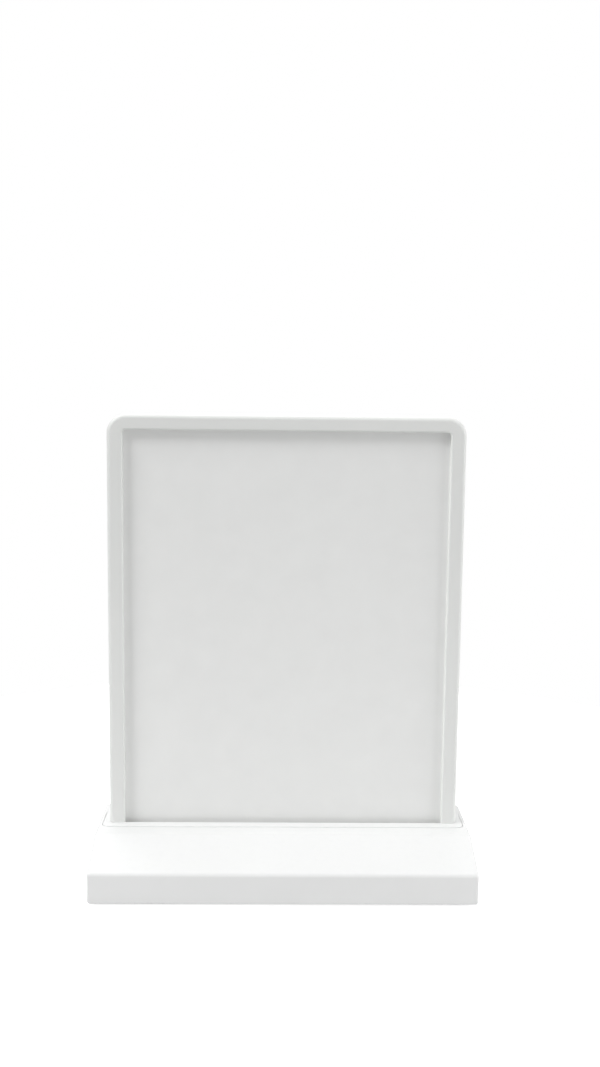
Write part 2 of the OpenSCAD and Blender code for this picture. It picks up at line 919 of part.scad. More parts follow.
module frame_pegs(d, l) {
    for (sx = [-1, 1], i = [0:leg_pegs - 1])
        rod_y(sx * peg_x, shoulder_z + peg_end + i * leg_peg_step, d, -cut, l);
    for (i = [0:top_pegs - 1])
        rod_y(-bend_x + peg_end + i * top_peg_step, peg_z, d, -cut, l);
}

module front_frame() {
    color(white)
        union() {
            frame_half();
            frame_pegs(peg_d, peg_l);
        }
}

module rear_frame() {
    color(white)
        difference() {
            mirror([0, 1, 0])
                frame_half();
            frame_pegs(peg_d + 2 * peg_gap, peg_l + peg_floor);
        }
}

// Flat layer of the display on its ledges, with rounded top corners: half width, depth from y0 to y1, top
module layer(x, y0, y1, top) {
    translate([0, y1, 0])
        rotate([90, 0, 0])
            linear_extrude(y1 - y0)
                union() {
                    translate([-x, ledge_z])
                        square([2 * x, top - layer_r - ledge_z]);
                    translate([-x + layer_r, ledge_z])
                        square([2 * (x - layer_r), top - ledge_z]);
                    for (s = [-1, 1])
                        translate([s * (x - layer_r), top - layer_r])
                            circle(layer_r);
                }
}

module light_guide() {
    edge = panel_gap + tape_t;
    color([0.85, 0.92, 0.95])
        layer(groove_x - edge, -guide_t / 2, guide_t / 2, groove_z - edge);
}

module edge_tape() {
    x = groove_x - panel_gap;
    z = groove_z - panel_gap;
    color([0.97, 0.97, 0.97])
        union() {
            for (part = [[-x, -x + tape_t], [x - tape_t, x]])
                box(part[0], part[1], -guide_t / 2, guide_t / 2, ledge_z, bend_z - panel_gap);
            box(-bend_x, bend_x, -guide_t / 2, guide_t / 2, z - tape_t, z);
        }
}

module panel() {
    layer(groove_x - panel_gap, -panel_y - panel_t, -panel_y, groove_z - panel_gap);
}

module sheet() {
    layer(sheet_w / 2, -sheet_y - sheet_t, -sheet_y, sheet_z);
}

module front_panel() {
    color([0.93, 0.93, 0.92])
        panel();
}

module rear_panel() {
    color([0.93, 0.93, 0.92])
        mirror([0, 1, 0])
            panel();
}

module front_sheet() {
    color([0.9, 0.9, 0.89])
        sheet();
}

module rear_sheet() {
    color([0.9, 0.9, 0.89])
        mirror([0, 1, 0])
            sheet();
}

base_shell();
bottom_cover();
socket_collar();
rubber_feet();
cover_screws();
battery_cell();
battery_pad();
control_board();
board_screws();
board_chips();
board_headers();
lead_plugs();
red_leads();
black_leads();
usb_port();
usb_tongue();
charge_lens();
button_switch();
switch_plunger();
power_button();
led_board();
leds();
front_frame();
rear_frame();
light_guide();
edge_tape();
front_panel();
rear_panel();
front_sheet();
rear_sheet();
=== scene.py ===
"""Desktop advertising light box: the finish of its plastic, sheets, button, inlet and inner parts.

Every piece is built in metres around the packed model, in the same frame: +Z is up and the front is -Y.
"""

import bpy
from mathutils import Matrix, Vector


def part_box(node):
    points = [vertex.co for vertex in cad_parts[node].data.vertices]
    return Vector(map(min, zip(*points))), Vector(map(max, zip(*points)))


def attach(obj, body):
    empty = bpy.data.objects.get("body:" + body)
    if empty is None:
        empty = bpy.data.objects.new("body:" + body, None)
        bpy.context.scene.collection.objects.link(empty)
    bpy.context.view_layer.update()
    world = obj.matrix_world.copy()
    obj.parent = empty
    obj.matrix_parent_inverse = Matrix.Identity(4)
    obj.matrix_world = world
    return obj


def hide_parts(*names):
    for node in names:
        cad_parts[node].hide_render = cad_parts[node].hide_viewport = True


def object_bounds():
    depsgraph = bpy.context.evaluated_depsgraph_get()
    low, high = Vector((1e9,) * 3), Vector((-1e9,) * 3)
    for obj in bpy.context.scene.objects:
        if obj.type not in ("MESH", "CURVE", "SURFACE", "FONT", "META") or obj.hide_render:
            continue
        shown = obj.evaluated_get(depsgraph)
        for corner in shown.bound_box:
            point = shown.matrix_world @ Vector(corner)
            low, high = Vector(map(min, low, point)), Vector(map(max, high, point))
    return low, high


bl_info = {
    "name": "Desktop light box",
    "version": (1, 0, 0),
    "blender": (4, 5, 0),
    "location": "3D View > Sidebar > Light box",
    "description": "Dresses a desktop advertising light box around its packed model",
    "category": "Object",
}

import math

import bmesh
import bpy
from bpy.props import FloatProperty, FloatVectorProperty, IntProperty, PointerProperty
from bpy.types import NodeSocket, Operator, Panel, PropertyGroup
from mathutils import Matrix, Vector

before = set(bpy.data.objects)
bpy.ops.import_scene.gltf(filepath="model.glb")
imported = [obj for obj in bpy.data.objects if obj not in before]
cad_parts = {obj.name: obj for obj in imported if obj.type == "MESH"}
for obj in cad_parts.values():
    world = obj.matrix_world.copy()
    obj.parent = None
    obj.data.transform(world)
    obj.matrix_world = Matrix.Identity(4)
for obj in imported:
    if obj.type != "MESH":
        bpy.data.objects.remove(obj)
CAD_BOX = [list(corner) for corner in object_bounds()]

MM = 0.001

# Points closer than this are one point
WELD = 0.0005 * MM

# Edges flatter than this angle are shaded smooth, with this weight on the larger faces
SMOOTH_ANGLE = math.radians(35)
FLAT_WEIGHT = 90

# Steps of a quarter turn, of a whole turn, of fine roundings, of edge breaks and of the floor's rim
ARC_STEPS = 8
ROUND_STEPS = 24
FINE_STEPS = 3
BREAK_STEPS = 2
FLOOR_STEPS = 96

# Angles in degrees: where a dome stops short of its pole, and where the button's dot leaves its hollow
DOME_END = 85
DOT_FOOT = 15

# Softened rim of a hole from outside in, in widths of the rim: extra radius and depth
RIM_SHAPE = [(3.0, -2.0), (1.0, 0.0), (0.3, 0.4), (0.0, 1.2)]

# Radius of the widest ring of the ball that presses the finger dish, in widths of the dish
DISH_REACH = 0.6

# Refraction of the moulded plastics, of the sheets' film and of acrylic
PLASTIC_IOR = 1.5
FILM_IOR = 1.45
ACRYLIC_IOR = 1.49

# Factor on the tone in drifting patches, on rubbed edges and under dust
PLASTIC_DRIFT, PLASTIC_RUB, PLASTIC_DUST = 0.985, 1.04, 0.975
MATTE_DRIFT, MATTE_RUB = 0.88, 1.3
METAL_DRIFT, METAL_RUB = 0.86, 1.25
SHEET_DRIFT, BOARD_DRIFT, FOIL_DRIFT, FLOOR_DRIFT = 0.978, 0.85, 0.8, 0.995

# Factor on the tone of the sheet for the panels, and of each solder mask for its traces
OPAL_TONE, STRIP_TRACE, BOARD_TRACE = 1.05, 0.88, 1.7

# Creases of the pouch foil to a metre
FOIL_CREASES = 170.0

# Plastics: colour among the finishes, least and most roughness, and relief in millimetres
PLASTICS = {
    "Base plastic": ("shell", 0.42, 0.5, 0.012),
    "Frame plastic": ("rail", 0.4, 0.48, 0.01),
    "Button plastic": ("button", 0.32, 0.42, 0.006),
}

# Matte materials: colour among the finishes, least and most roughness, grain and relief in millimetres
MATTES = {
    "Edge tape": ("tape", 0.4, 0.55, 0.2, 0.01),
    "Switch plunger": ("nylon", 0.4, 0.5, 0.1, 0.01),
    "Switch body": ("resin", 0.45, 0.6, 0.12, 0.02),
    "Port resin": ("resin", 0.4, 0.55, 0.1, 0.01),
    "Foot rubber": ("rubber", 0.6, 0.78, 0.25, 0.03),
    "LED cup": ("strip", 0.35, 0.45, 0.1, 0.004),
    "LED phosphor": ("phosphor", 0.3, 0.42, 0.08, 0.006),
    "Connector nylon": ("nylon", 0.38, 0.5, 0.1, 0.01),
    "Chip resin": ("resin", 0.5, 0.65, 0.09, 0.015),
    "Red lead": ("red", 0.35, 0.45, 0.3, 0.006),
    "Black lead": ("black", 0.35, 0.45, 0.3, 0.006),
    "Pad foam": ("foam", 0.85, 0.95, 0.5, 0.2),
}

# Metals: colour among the finishes, least and most roughness, and breadth of a drawn line in millimetres
METALS = {
    "Port steel": ("steel", 0.24, 0.36, 0.12),
    "Screw steel": ("steel", 0.24, 0.36, 0.12),
    "Gilt contacts": ("copper", 0.2, 0.3, 0.1),
}

# Nearest thing that the camera shows
CLIP_START = 10 * MM

# Places that the packed model settles
BASE_LOW, BASE_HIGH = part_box("base_shell")
COLLAR_LOW, COLLAR_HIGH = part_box("socket_collar")
FRAME_LOW, FRAME_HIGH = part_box("front_frame")
SHEET_LOW, SHEET_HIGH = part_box("front_sheet")
COVER_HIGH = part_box("bottom_cover")[1]
BUTTON_LOW, BUTTON_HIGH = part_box("power_button")
PORT_LOW, PORT_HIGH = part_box("usb_port")
LENS_LOW, LENS_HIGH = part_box("charge_lens")
STRIP_LOW, STRIP_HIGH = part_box("led_board")
LEDS_LOW, LEDS_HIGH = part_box("leds")
FEET_LOW, FEET_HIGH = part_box("rubber_feet")
SCREWS_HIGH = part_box("cover_screws")[1]
BUTTON_MIDDLE = (BUTTON_LOW + BUTTON_HIGH) / 2
PORT_MIDDLE = (PORT_LOW + PORT_HIGH) / 2
LENS_MIDDLE = (LENS_LOW + LENS_HIGH) / 2


def length(name, description, default):
    """Property for a size in metres."""
    return FloatProperty(
        name=name, description=description, default=default, min=0.0, precision=5,
        subtype="DISTANCE", unit="LENGTH",
    )


def colour(name, description, default):
    """Property for a linear colour."""
    return FloatVectorProperty(
        name=name, description=description, default=default, size=3, min=0.0, max=1.0, subtype="COLOR",
    )


def angle(name, description, degrees):
    """Property for an angle given in degrees."""
    return FloatProperty(
        name=name, description=description, default=math.radians(degrees), subtype="ANGLE", unit="ROTATION",
    )


def place(name, description, default):
    """Property for a point in metres."""
    return FloatVectorProperty(
        name=name, description=description, default=default, size=3, precision=5,
        subtype="TRANSLATION", unit="LENGTH",
    )


def strength(name, description, default):
    """Property for the power of a light in watts."""
    return FloatProperty(name=name, description=description, default=default, min=0.0, unit="POWER")


def share(name, description, default):
    """Property for a share from none to all."""
    return FloatProperty(
        name=name, description=description, default=default, min=0.0, max=1.0, subtype="FACTOR",
    )


class LIGHTBOX_PG_base(PropertyGroup):
    """Sizes of the base shell"""

    face_height: length("Upright face", "Height of the upright front and rear faces", 13.3 * MM)
    flat_depth: length("Flat top", "Depth of the flat top", 36.8 * MM)
    crease_round: length("Crease rounding", "Rounding of the edges along the upright faces", 2 * MM)
    top_round: length("Top rounding", "Rounding of the flat top's edges", 1.5 * MM)
    end_round: length("End rounding", "Rounding of the upright corners and the edges of the ends", 1 * MM)
    chamfer: length("Chamfer", "Chamfer round the underside", 0.4 * MM)
    wall: length("Wall", "Wall of the shell", 2.2 * MM)
    rim: length("Rim rounding", "Rounding of the rims of the openings", 0.25 * MM)
    boss_width: length("Boss width", "Diameter of the cover screws' bosses", 6.1 * MM)
    boss_foot: length("Boss foot", "Height of the bosses' lower ends above the cover", 2 * MM)
    screw_head: length("Screw head", "Diameter of the cover screws' heads", 4.8 * MM)
    foot_width: length("Foot width", "Diameter of a rubber foot", 9 * MM)
    foot_round: length("Foot rounding", "Rounding of a foot's lower rim", 0.5 * MM)
    foot_cup: length("Foot cup", "Diameter of the shallow cup under a foot", 5.2 * MM)
    foot_cup_depth: length("Foot cup depth", "Depth of the cup under a foot", 0.25 * MM)


class LIGHTBOX_PG_rear(PropertyGroup):
    """Sizes of the button, the charging port and the lamp"""

    dish_depth: length("Dish depth", "Depth of the finger dish round the button", 0.9 * MM)
    dish_width: length("Dish width", "Diameter of the finger dish", 10.4 * MM)
    pad_depth: length("Pad depth", "Depth of the wall pad behind the button", 1.2 * MM)
    pad_width: length("Pad width", "Width of the wall pad behind the button", 12.4 * MM)
    button_gap: length("Button gap", "Gap round the button in its bore", 0.25 * MM)
    button_step: length("Button step", "Step from the button's cap to its flange", 0.8 * MM)
    button_flange: length("Button flange", "Thickness of the button's flange", 1.3 * MM)
    button_edge: length("Button edge", "Rounding of the cap's edge", 0.45 * MM)
    button_hollow: length("Button hollow", "Depth of the hollow in the cap", 0.28 * MM)
    button_dot: length("Button dot", "Radius of the raised dot in the hollow", 0.55 * MM)
    port_gap: length("Port gap", "Gap round the charging port", 0.2 * MM)
    port_sheet: length("Port sheet", "Thickness of the port's shell", 0.35 * MM)
    blade: length("Blade", "Thickness of the port's tongue", 0.7 * MM)
    blade_root: length("Blade root", "Length of the tongue's root", 1.2 * MM)
    contacts: IntProperty(name="Contacts", description="Contacts in a row of the tongue", default=8, min=1)
    contact_width: length("Contact width", "Width of a contact", 0.3 * MM)
    contact_rise: length("Contact rise", "How far a contact stands out of the tongue", 0.04 * MM)
    lens_gap: length("Lens gap", "Gap round the light pipe", 0.05 * MM)
    lens_step: length("Lens step", "Step from the light pipe to its flange", 0.4 * MM)
    lens_flange: length("Lens flange", "Thickness of the light pipe's flange", 1 * MM)
    lens_dome: length("Lens dome", "Height of the light pipe's dome", 0.3 * MM)


class LIGHTBOX_PG_socket(PropertyGroup):
    """Sizes of the socket collar"""

    plate: length("Plate", "Thickness of the collar plate", 1.4 * MM)
    corner_round: length("Corner rounding", "Corner radius of the plate", 3.5 * MM)
    edge_round: length("Edge rounding", "Rounding of the plate's upper edge", 0.4 * MM)
    seam: length("Seam", "Gap round the plate", 0.2 * MM)
    slot_gap: length("Slot gap", "Gap round the tongue", 0.3 * MM)
    slot_round: length("Slot rounding", "Corner radius of the slot", 0.5 * MM)
    slot_rim: length("Slot rim", "Rounding of the slot's upper rim", 0.25 * MM)
    well_round: length("Well rounding", "Corner radius of the well, outside", 0.8 * MM)
    wall: length("Well wall", "Wall of the well", 1.4 * MM)
    lead_hole: length("Lead hole", "Diameter of the hole for the LED leads in the well's floor", 4.4 * MM)
    lead_reach: length("Lead place", "How far the lead hole lies from the middle, to the left", 60 * MM)


class LIGHTBOX_PG_display(PropertyGroup):
    """Sizes of the display frame"""

    rail: length("Rail", "Width of a rail, seen from the front", 6.8 * MM)
    lip: length("Lip", "Thickness of the lip in front of the sheet", 3 * MM)
    groove: length("Groove", "Depth of the groove behind the lip", 2.5 * MM)
    window_corner: length("Window corner", "Radius of the window's top corners", 1.7 * MM)
    outer_round: length("Outer rounding", "Rounding of the outer edges", 2 * MM)
    window_round: length("Window rounding", "Rounding of the window's edges", 0.8 * MM)
    foot_round: length("Foot rounding", "Rounding of the legs' lower outer corners", 1.5 * MM)
    parting_round: length("Parting line", "Edge break where the two halves meet", 0.25 * MM)
    tongue_wall: length("Tongue wall", "Wall of the tongue in front of the groove", 1.8 * MM)
    tongue_end: length("Tongue end", "Wall of the tongue at its ends", 1 * MM)
    tongue_lead: length("Tongue lead", "Rounding of the tongue's corners and lower edge", 0.3 * MM)
    ledge_round: length("Ledge rounding", "Rounding of the ledges under the layers", 0.2 * MM)
    tongue_drop: length("Tongue drop", "How far the tongue lies below the collar between the legs", 4 * MM)


class LIGHTBOX_PG_leds(PropertyGroup):
    """Sizes of the LED packages"""

    count: IntProperty(name="Count", description="LED packages along the strip", default=17, min=1)
    package: length("Package", "Length of a package", 3.5 * MM)
    corner: length("Corner", "Corner radius of a package", 0.2 * MM)
    edge: length("Edge", "Edge break of the cup", 0.06 * MM)
    cup_wall: length("Cup wall", "Wall of the white cup", 0.35 * MM)
    cup_depth: length("Cup depth", "Depth of the phosphor below the cup's rim", 0.12 * MM)


class LIGHTBOX_PG_finish(PropertyGroup):
    """Colours and textures of the finishes"""

    shell: colour("Base plastic", "Satin white plastic of the base", (0.84, 0.845, 0.842))
    rail: colour("Frame plastic", "Satin white plastic of the frame", (0.825, 0.835, 0.82))
    sheet: colour("Insert sheet", "Blank matte insert sheet", (0.885, 0.89, 0.88))
    button: colour("Button", "Button cap", (0.74, 0.75, 0.75))
    rubber: colour("Rubber", "Feet", (0.018, 0.018, 0.019))
    steel: colour("Steel", "Screws and port shell", (0.62, 0.63, 0.65))
    board: colour("Control board", "Green solder mask", (0.02, 0.14, 0.055))
    copper: colour("Contacts", "Gilt contacts and copper pads", (0.83, 0.56, 0.22))
    nylon: colour("Nylon", "Connectors and the switch's plunger", (0.8, 0.77, 0.66))
    resin: colour("Resin", "Chips, switch body and port tongue", (0.024, 0.024, 0.026))
    lens: colour("Lamp lens", "Frosted light pipe", (0.8, 0.84, 0.83))
    guide: colour("Light guide", "Clear acrylic light guide", (0.93, 0.97, 0.98))
    tape: colour("Edge tape", "White reflective tape", (0.9, 0.9, 0.9))
    strip: colour("LED board", "White solder mask of the LED strip", (0.82, 0.82, 0.79))
    foil: colour("Pouch foil", "Aluminium foil of the cell", (0.66, 0.67, 0.69))
    foam: colour("Foam", "Pad under the cell", (0.05, 0.05, 0.055))
    black: colour("Black lead", "Insulation of the black leads", (0.015, 0.015, 0.016))
    phosphor: colour("Phosphor", "Yellow phosphor of the LEDs", (0.86, 0.66, 0.08))
    red: colour("Red lead", "Insulation of the red leads", (0.5, 0.02, 0.015))
    grain: length("Grain", "Size of the moulded texture's grain", 0.28 * MM)
    patch: length("Tone patches", "Size of the patches of slightly different tone", 22 * MM)


class LIGHTBOX_PG_stage(PropertyGroup):
    """Camera, floor and lights"""

    eye: place("Camera", "Place of the camera", (-4.73 * MM, -518.42 * MM, 223.01 * MM))
    pitch: angle("Pitch", "How far the camera looks down", 7.368)
    yaw: angle("Yaw", "How far the camera looks to the right", 1.212)
    roll: angle("Roll", "How far the camera leans", -0.668)
    lens: FloatProperty(name="Lens", description="Focal length", default=39.44, unit="CAMERA")
    floor_radius: length("Floor", "Radius of the floor", 0.35)
    floor: colour("Floor colour", "Pale floor", (0.75, 0.75, 0.75))
    floor_glow: share("Floor glow", "How far the floor is lifted towards white for the camera", 0.76)
    ambient: share("Ambient", "Even light from all round", 0.285)


# Softboxes: where each one stands in words and in metres, its side in metres and its power in watts
SOFTBOXES = {
    "top": ("overhead", (0.0, 0.0, 1.1), 1.4, 5.3),
    "key": ("high on the left", (-1.0, -0.45, 1.2), 0.5, 12.1),
    "left": ("far on the left", (-1.8, -0.75, 0.6), 0.8, 3.8),
    "right": ("on the right", (0.95, -0.4, 0.4), 0.7, 4.1),
    "rim": ("beside the right end", (1.2, 0.12, 0.35), 0.5, 3.0),
    "back": ("high behind", (-0.25, 0.5, 1.0), 0.5, 1.2),
    "rear": ("behind", (0.0, 0.95, 0.8), 0.7, 2.4),
}
for key, (words, where, side, power) in SOFTBOXES.items():
    LIGHTBOX_PG_stage.__annotations__.update({
        key + "_place": place(key.title() + " place", "Middle of the softbox " + words, where),
        key + "_size": length(key.title() + " size", "Side of the softbox " + words, side),
        key + "_power": strength(key.title() + " power", "Power of the softbox " + words, power),
    })


# Outlines and rings


def arc(centre, radius, start, end, steps=ARC_STEPS):
    """Points of a circular arc in a plane, between two angles in degrees."""
    turns = [math.radians(start + (end - start) * k / steps) for k in range(steps + 1)]
    return [(centre[0] + radius * math.cos(t), centre[1] + radius * math.sin(t)) for t in turns]


def round_rect(half_x, half_y, radius):
    """Rounded rectangle about the origin, anticlockwise."""
    x, y = half_x - radius, half_y - radius
    corners = [(x, y, 0), (-x, y, 90), (-x, -y, 180), (x, -y, 270)]
    return [p for cx, cy, turn in corners for p in arc((cx, cy), radius, turn, turn + 90)]


def level(points, z, middle=(0.0, 0.0)):
    """Plan points as a level ring."""
    return [(middle[0] + x, middle[1] + y, z) for x, y in points]


def capsule(x, z, run, radius, y):
    """Upright ring across Y round a straight run along X: a circle where the run is none."""
    right = arc((x + run / 2, z), radius, -90, 90, ROUND_STEPS // 2)
    left = arc((x - run / 2, z), radius, 90, 270, ROUND_STEPS // 2)
    return [(px, y, pz) for px, pz in right + left]


def circle(middle, radius, z):
    """Level circle."""
    return level(arc((0, 0), radius, 0, 360, ROUND_STEPS)[:-1], z, middle)


def inset(outline, distance):
    """Convex outline, anticlockwise, with each corner moved in by a distance from both of its edges."""
    corners = [Vector(p) for p in outline]
    moved = []
    for before, corner, after in zip(corners[-1:] + corners, corners, corners[1:] + corners[:1]):
        sides = [(corner - before).normalized(), (after - corner).normalized()]
        out = [Vector((side.y, -side.x)) for side in sides]
        moved.append(corner - distance * (out[0] + out[1]) / (1 + out[0].dot(out[1])))
    return moved


# Meshes


def skin(bm, rings, slot=0, cap_slot=None):
    """Skin a row of closed rings that have equal counts of points, and cap both ends."""
    loops = [[bm.verts.new(point) for point in ring] for ring in rings]
    count = len(rings[0])
    for near, far in zip(loops, loops[1:]):
        for i in range(count):
            j = (i + 1) % count
            bm.faces.new((near[i], near[j], far[j], far[i])).material_index = slot
    bm.faces.new(loops[0][::-1]).material_index = slot
    bm.faces.new(loops[-1]).material_index = slot if cap_slot is None else cap_slot


def clean(bm):
    """Weld coincident points, drop faces that collapsed and turn all faces outwards."""
    bmesh.ops.remove_doubles(bm, verts=bm.verts, dist=WELD)
    bmesh.ops.dissolve_degenerate(bm, edges=bm.edges, dist=WELD)
    bmesh.ops.recalc_face_normals(bm, faces=bm.faces)
    return bm


def solid(*rows):
    """Mesh of one closed solid for each row of rings."""
    bm = bmesh.new()
    for rings in rows:
        skin(bm, rings)
    return clean(bm)


def block(low, high, rounding):
    """Rings of an upright block with rounded corners and softened upper and lower edges."""
    middle = [(a + b) / 2 for a, b in zip(low, high)]
    half = [(b - a) / 2 for a, b in zip(low, high)]
    soft = rounding / 2
    return [
        level(round_rect(half[0] - trim, half[1] - trim, rounding - trim / 2), z, middle[:2])
        for trim, z in [(soft, low[2]), (0, low[2] + soft), (0, high[2] - soft), (soft, high[2])]
    ]


def loose_object(name, bm):
    """Object that holds a mesh, linked to the scene."""
    mesh = bpy.data.meshes.new(name)
    bm.to_mesh(mesh)
    bm.free()
    obj = bpy.data.objects.new(name, mesh)
    bpy.context.scene.collection.objects.link(obj)
    return obj


def combine(bm, tool, operation):
    """Boolean of two meshes of closed solids, which are both used up."""
    target, other = loose_object("target", bm), loose_object("tool", tool)
    step = target.modifiers.new(operation, "BOOLEAN")
    step.operation = operation
    step.object = other
    step.solver = "EXACT"
    step.use_self = True
    done = target.evaluated_get(bpy.context.evaluated_depsgraph_get())
    result = bmesh.new()
    result.from_mesh(done.to_mesh())
    done.to_mesh_clear()
    for obj in (target, other):
        mesh = obj.data
        bpy.data.objects.remove(obj)
        bpy.data.meshes.remove(mesh)
    if not result.faces:
        raise RuntimeError("a boolean of two solids left nothing")
    return clean(result)


def smooth(obj):
    """Smooth shading that leaves flat faces flat and sharp edges sharp."""
    mesh = obj.data
    mesh.polygons.foreach_set("use_smooth", [True] * len(mesh.polygons))
    mesh.set_sharp_from_angle(angle=SMOOTH_ANGLE)
    step = obj.modifiers.new("Flat faces", "WEIGHTED_NORMAL")
    step.weight = FLAT_WEIGHT
    step.keep_sharp = True


def piece(name, bm, body, nodes, materials):
    """Finished piece that stands for CAD nodes and rides on their body."""
    obj = loose_object(name, bm)
    for material in materials:
        obj.data.materials.append(material)
    smooth(obj)
    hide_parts(*nodes)
    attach(obj, body)


def dress(node_name, material, bevel=0.0, rounds=0):
    """Give a CAD node its finish and, if asked, an edge break or rounder sides."""
    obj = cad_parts[node_name]
    if not obj.material_slots:
        obj.data.materials.append(material)
    for holder in obj.material_slots:
        holder.material = material
    if bevel or rounds:
        weld = obj.modifiers.new("Join", "WELD")
        weld.merge_threshold = WELD
    if rounds:
        obj.modifiers.new("Rounder sides", "SUBSURF").render_levels = rounds
    if bevel:
        step = obj.modifiers.new("Edge break", "BEVEL")
        step.width = bevel
        step.segments = BREAK_STEPS
        step.limit_method = "ANGLE"
        step.angle_limit = SMOOTH_ANGLE
        normals = obj.modifiers.new("Flat faces", "WEIGHTED_NORMAL")
        normals.weight = FLAT_WEIGHT


# Shader node groups and materials


def node(tree, kind, inputs, **settings):
    """New node with its settings and inputs; an input given as a socket is linked."""
    made = tree.nodes.new(kind)
    for key, value in settings.items():
        setattr(made, key, value)
    for key, value in inputs.items():
        if isinstance(value, NodeSocket):
            tree.links.new(value, made.inputs[key])
        else:
            made.inputs[key].default_value = value
    return made


def new_group(name, inputs, outputs):
    """Empty shader node group with named float or colour sockets: its tree, inputs and outputs."""
    tree = bpy.data.node_groups.new(name, "ShaderNodeTree")
    for label, default in inputs.items():
        kind = "NodeSocketColor" if isinstance(default, tuple) else "NodeSocketFloat"
        tree.interface.new_socket(label, in_out="INPUT", socket_type=kind).default_value = default
    for label, kind in outputs.items():
        tree.interface.new_socket(label, in_out="OUTPUT", socket_type=kind)
    return tree, tree.nodes.new("NodeGroupInput").outputs, tree.nodes.new("NodeGroupOutput").inputs


def object_place(tree):
    """Place on the object, which moves with it."""
    return tree.nodes.new("ShaderNodeTexCoord").outputs["Object"]


def mix_colour(tree, factor, a, b):
    """Colour between two colours."""
    return node(tree, "ShaderNodeMix", {0: factor, 6: a, 7: b}, data_type="RGBA").outputs[2]


def noise(tree, where, scale, detail):
    """Noise texture at a place."""
    return node(tree, "ShaderNodeTexNoise", {"Vector": where, "Scale": scale, "Detail": detail})


def spread(tree, value, low, high, to=(0.0, 1.0)):
    """Value stretched from one range to another and kept within it."""
    return node(tree, "ShaderNodeMapRange", {
        "Value": value, "From Min": low, "From Max": high, "To Min": to[0], "To Max": to[1],
    }).outputs[0]


def product(tree, a, b):
    """Product of two values."""
    return node(tree, "ShaderNodeMath", {0: a, 1: b}, operation="MULTIPLY").outputs[0]


def opaque(value):
    """Colour with its alpha."""
    return (*value[:3], 1.0)


def scaled(value, factor):
    """Lighter or darker colour."""
    return opaque([min(1.0, part * factor) for part in value[:3]])


def make_moulded_grain():
    """Fine pitted texture of a moulded surface."""
    tree, given, result = new_group("Moulded grain", {"Scale": 3000.0}, {"Height": "NodeSocketFloat"})
    where, scale = object_place(tree), given["Scale"]
    fine = noise(tree, where, scale, 3.0)
    fine.inputs["Roughness"].default_value = 0.6
    pits = node(tree, "ShaderNodeTexVoronoi", {"Vector": where, "Scale": scale}, feature="SMOOTH_F1")
    tree.links.new(product(tree, fine.outputs[0], pits.outputs["Distance"]), result["Height"])


def make_tone_drift():
    """Slow drift between two tones."""
    tree, given, result = new_group(
        "Tone drift",
        {"Tone": (1, 1, 1, 1), "Other tone": (1, 1, 1, 1), "Scale": 50.0},
        {"Color": "NodeSocketColor"},
    )
    cloud = noise(tree, object_place(tree), given["Scale"], 5.0)
    part = spread(tree, cloud.outputs[0], 0.3, 0.7)
    mixed = mix_colour(tree, part, given["Tone"], given["Other tone"])
    tree.links.new(mixed, result["Color"])


def make_roughness_drift():
    """Roughness that wanders between two values, as handling leaves it."""
    tree, given, result = new_group(
        "Roughness drift", {"Low": 0.4, "High": 0.5, "Scale": 100.0}, {"Roughness": "NodeSocketFloat"}
    )
    cloud = noise(tree, object_place(tree), given["Scale"], 6.0)
    rough = spread(tree, cloud.outputs[0], 0.3, 0.7, to=(given["Low"], given["High"]))
    tree.links.new(rough, result["Roughness"])


def make_edge_wear():
    """Patchy rub along the edges."""
    tree, given, result = new_group(
        "Edge wear", {"Width": 0.6 * MM, "Scale": 250.0}, {"Mask": "NodeSocketFloat"}
    )
    soft = node(tree, "ShaderNodeBevel", {"Radius": given["Width"]}, samples=2)
    true = tree.nodes.new("ShaderNodeNewGeometry")
    match = node(
        tree, "ShaderNodeVectorMath", {0: soft.outputs[0], 1: true.outputs["Normal"]}, operation="DOT_PRODUCT"
    )
    bend = spread(tree, match.outputs["Value"], 0.98, 0.8)
    cloud = noise(tree, object_place(tree), given["Scale"], 4.0)
    tree.links.new(product(tree, bend, cloud.outputs[0]), result["Mask"])


def make_settled_dust():
    """Faint dust on faces that look up."""
    tree, given, result = new_group("Settled dust", {"Scale": 300.0}, {"Mask": "NodeSocketFloat"})
    facing = node(tree, "ShaderNodeSeparateXYZ", {0: tree.nodes.new("ShaderNodeTexCoord").outputs["Normal"]})
    up = spread(tree, facing.outputs["Z"], 0.6, 1.0)
    specks = spread(tree, noise(tree, object_place(tree), given["Scale"], 8.0).outputs[0], 0.5, 0.75)
    tree.links.new(product(tree, up, specks), result["Mask"])


def make_drawn_lines():
    """Fine lines along Y, as drawn or brushed metal has."""
    tree, given, result = new_group("Drawn lines", {"Scale": 10000.0}, {"Height": "NodeSocketFloat"})
    stretched = node(tree, "ShaderNodeMapping", {"Vector": object_place(tree), "Scale": (1.0, 0.03, 1.0)})
    lines = noise(tree, stretched.outputs[0], given["Scale"], 3.0)
    tree.links.new(lines.outputs[0], result["Height"])


def make_groups():
    """All shared effects, built once."""
    effects = [
        make_moulded_grain, make_tone_drift, make_roughness_drift,
        make_edge_wear, make_settled_dust, make_drawn_lines,
    ]
    for make in effects:
        make()


def effect(tree, name, inputs):
    """Shared effect placed in a material with its own values."""
    return node(tree, "ShaderNodeGroup", inputs, node_tree=bpy.data.node_groups[name]).outputs[0]


def new_material(name, **sockets):
    """Material with its shader's plain values set: its tree and its shader's inputs."""
    material = bpy.data.materials.new(name)
    material.use_nodes = True
    shader = material.node_tree.nodes["Principled BSDF"]
    for key, value in sockets.items():
        shader.inputs[key.replace("_", " ").title().replace("Ior", "IOR")].default_value = value
    return material, material.node_tree, shader.inputs


def bump(tree, shader, height, depth):
    """Relief of a depth in metres."""
    made = node(tree, "ShaderNodeBump", {"Height": height, "Strength": 1.0, "Distance": depth})
    tree.links.new(made.outputs[0], shader["Normal"])


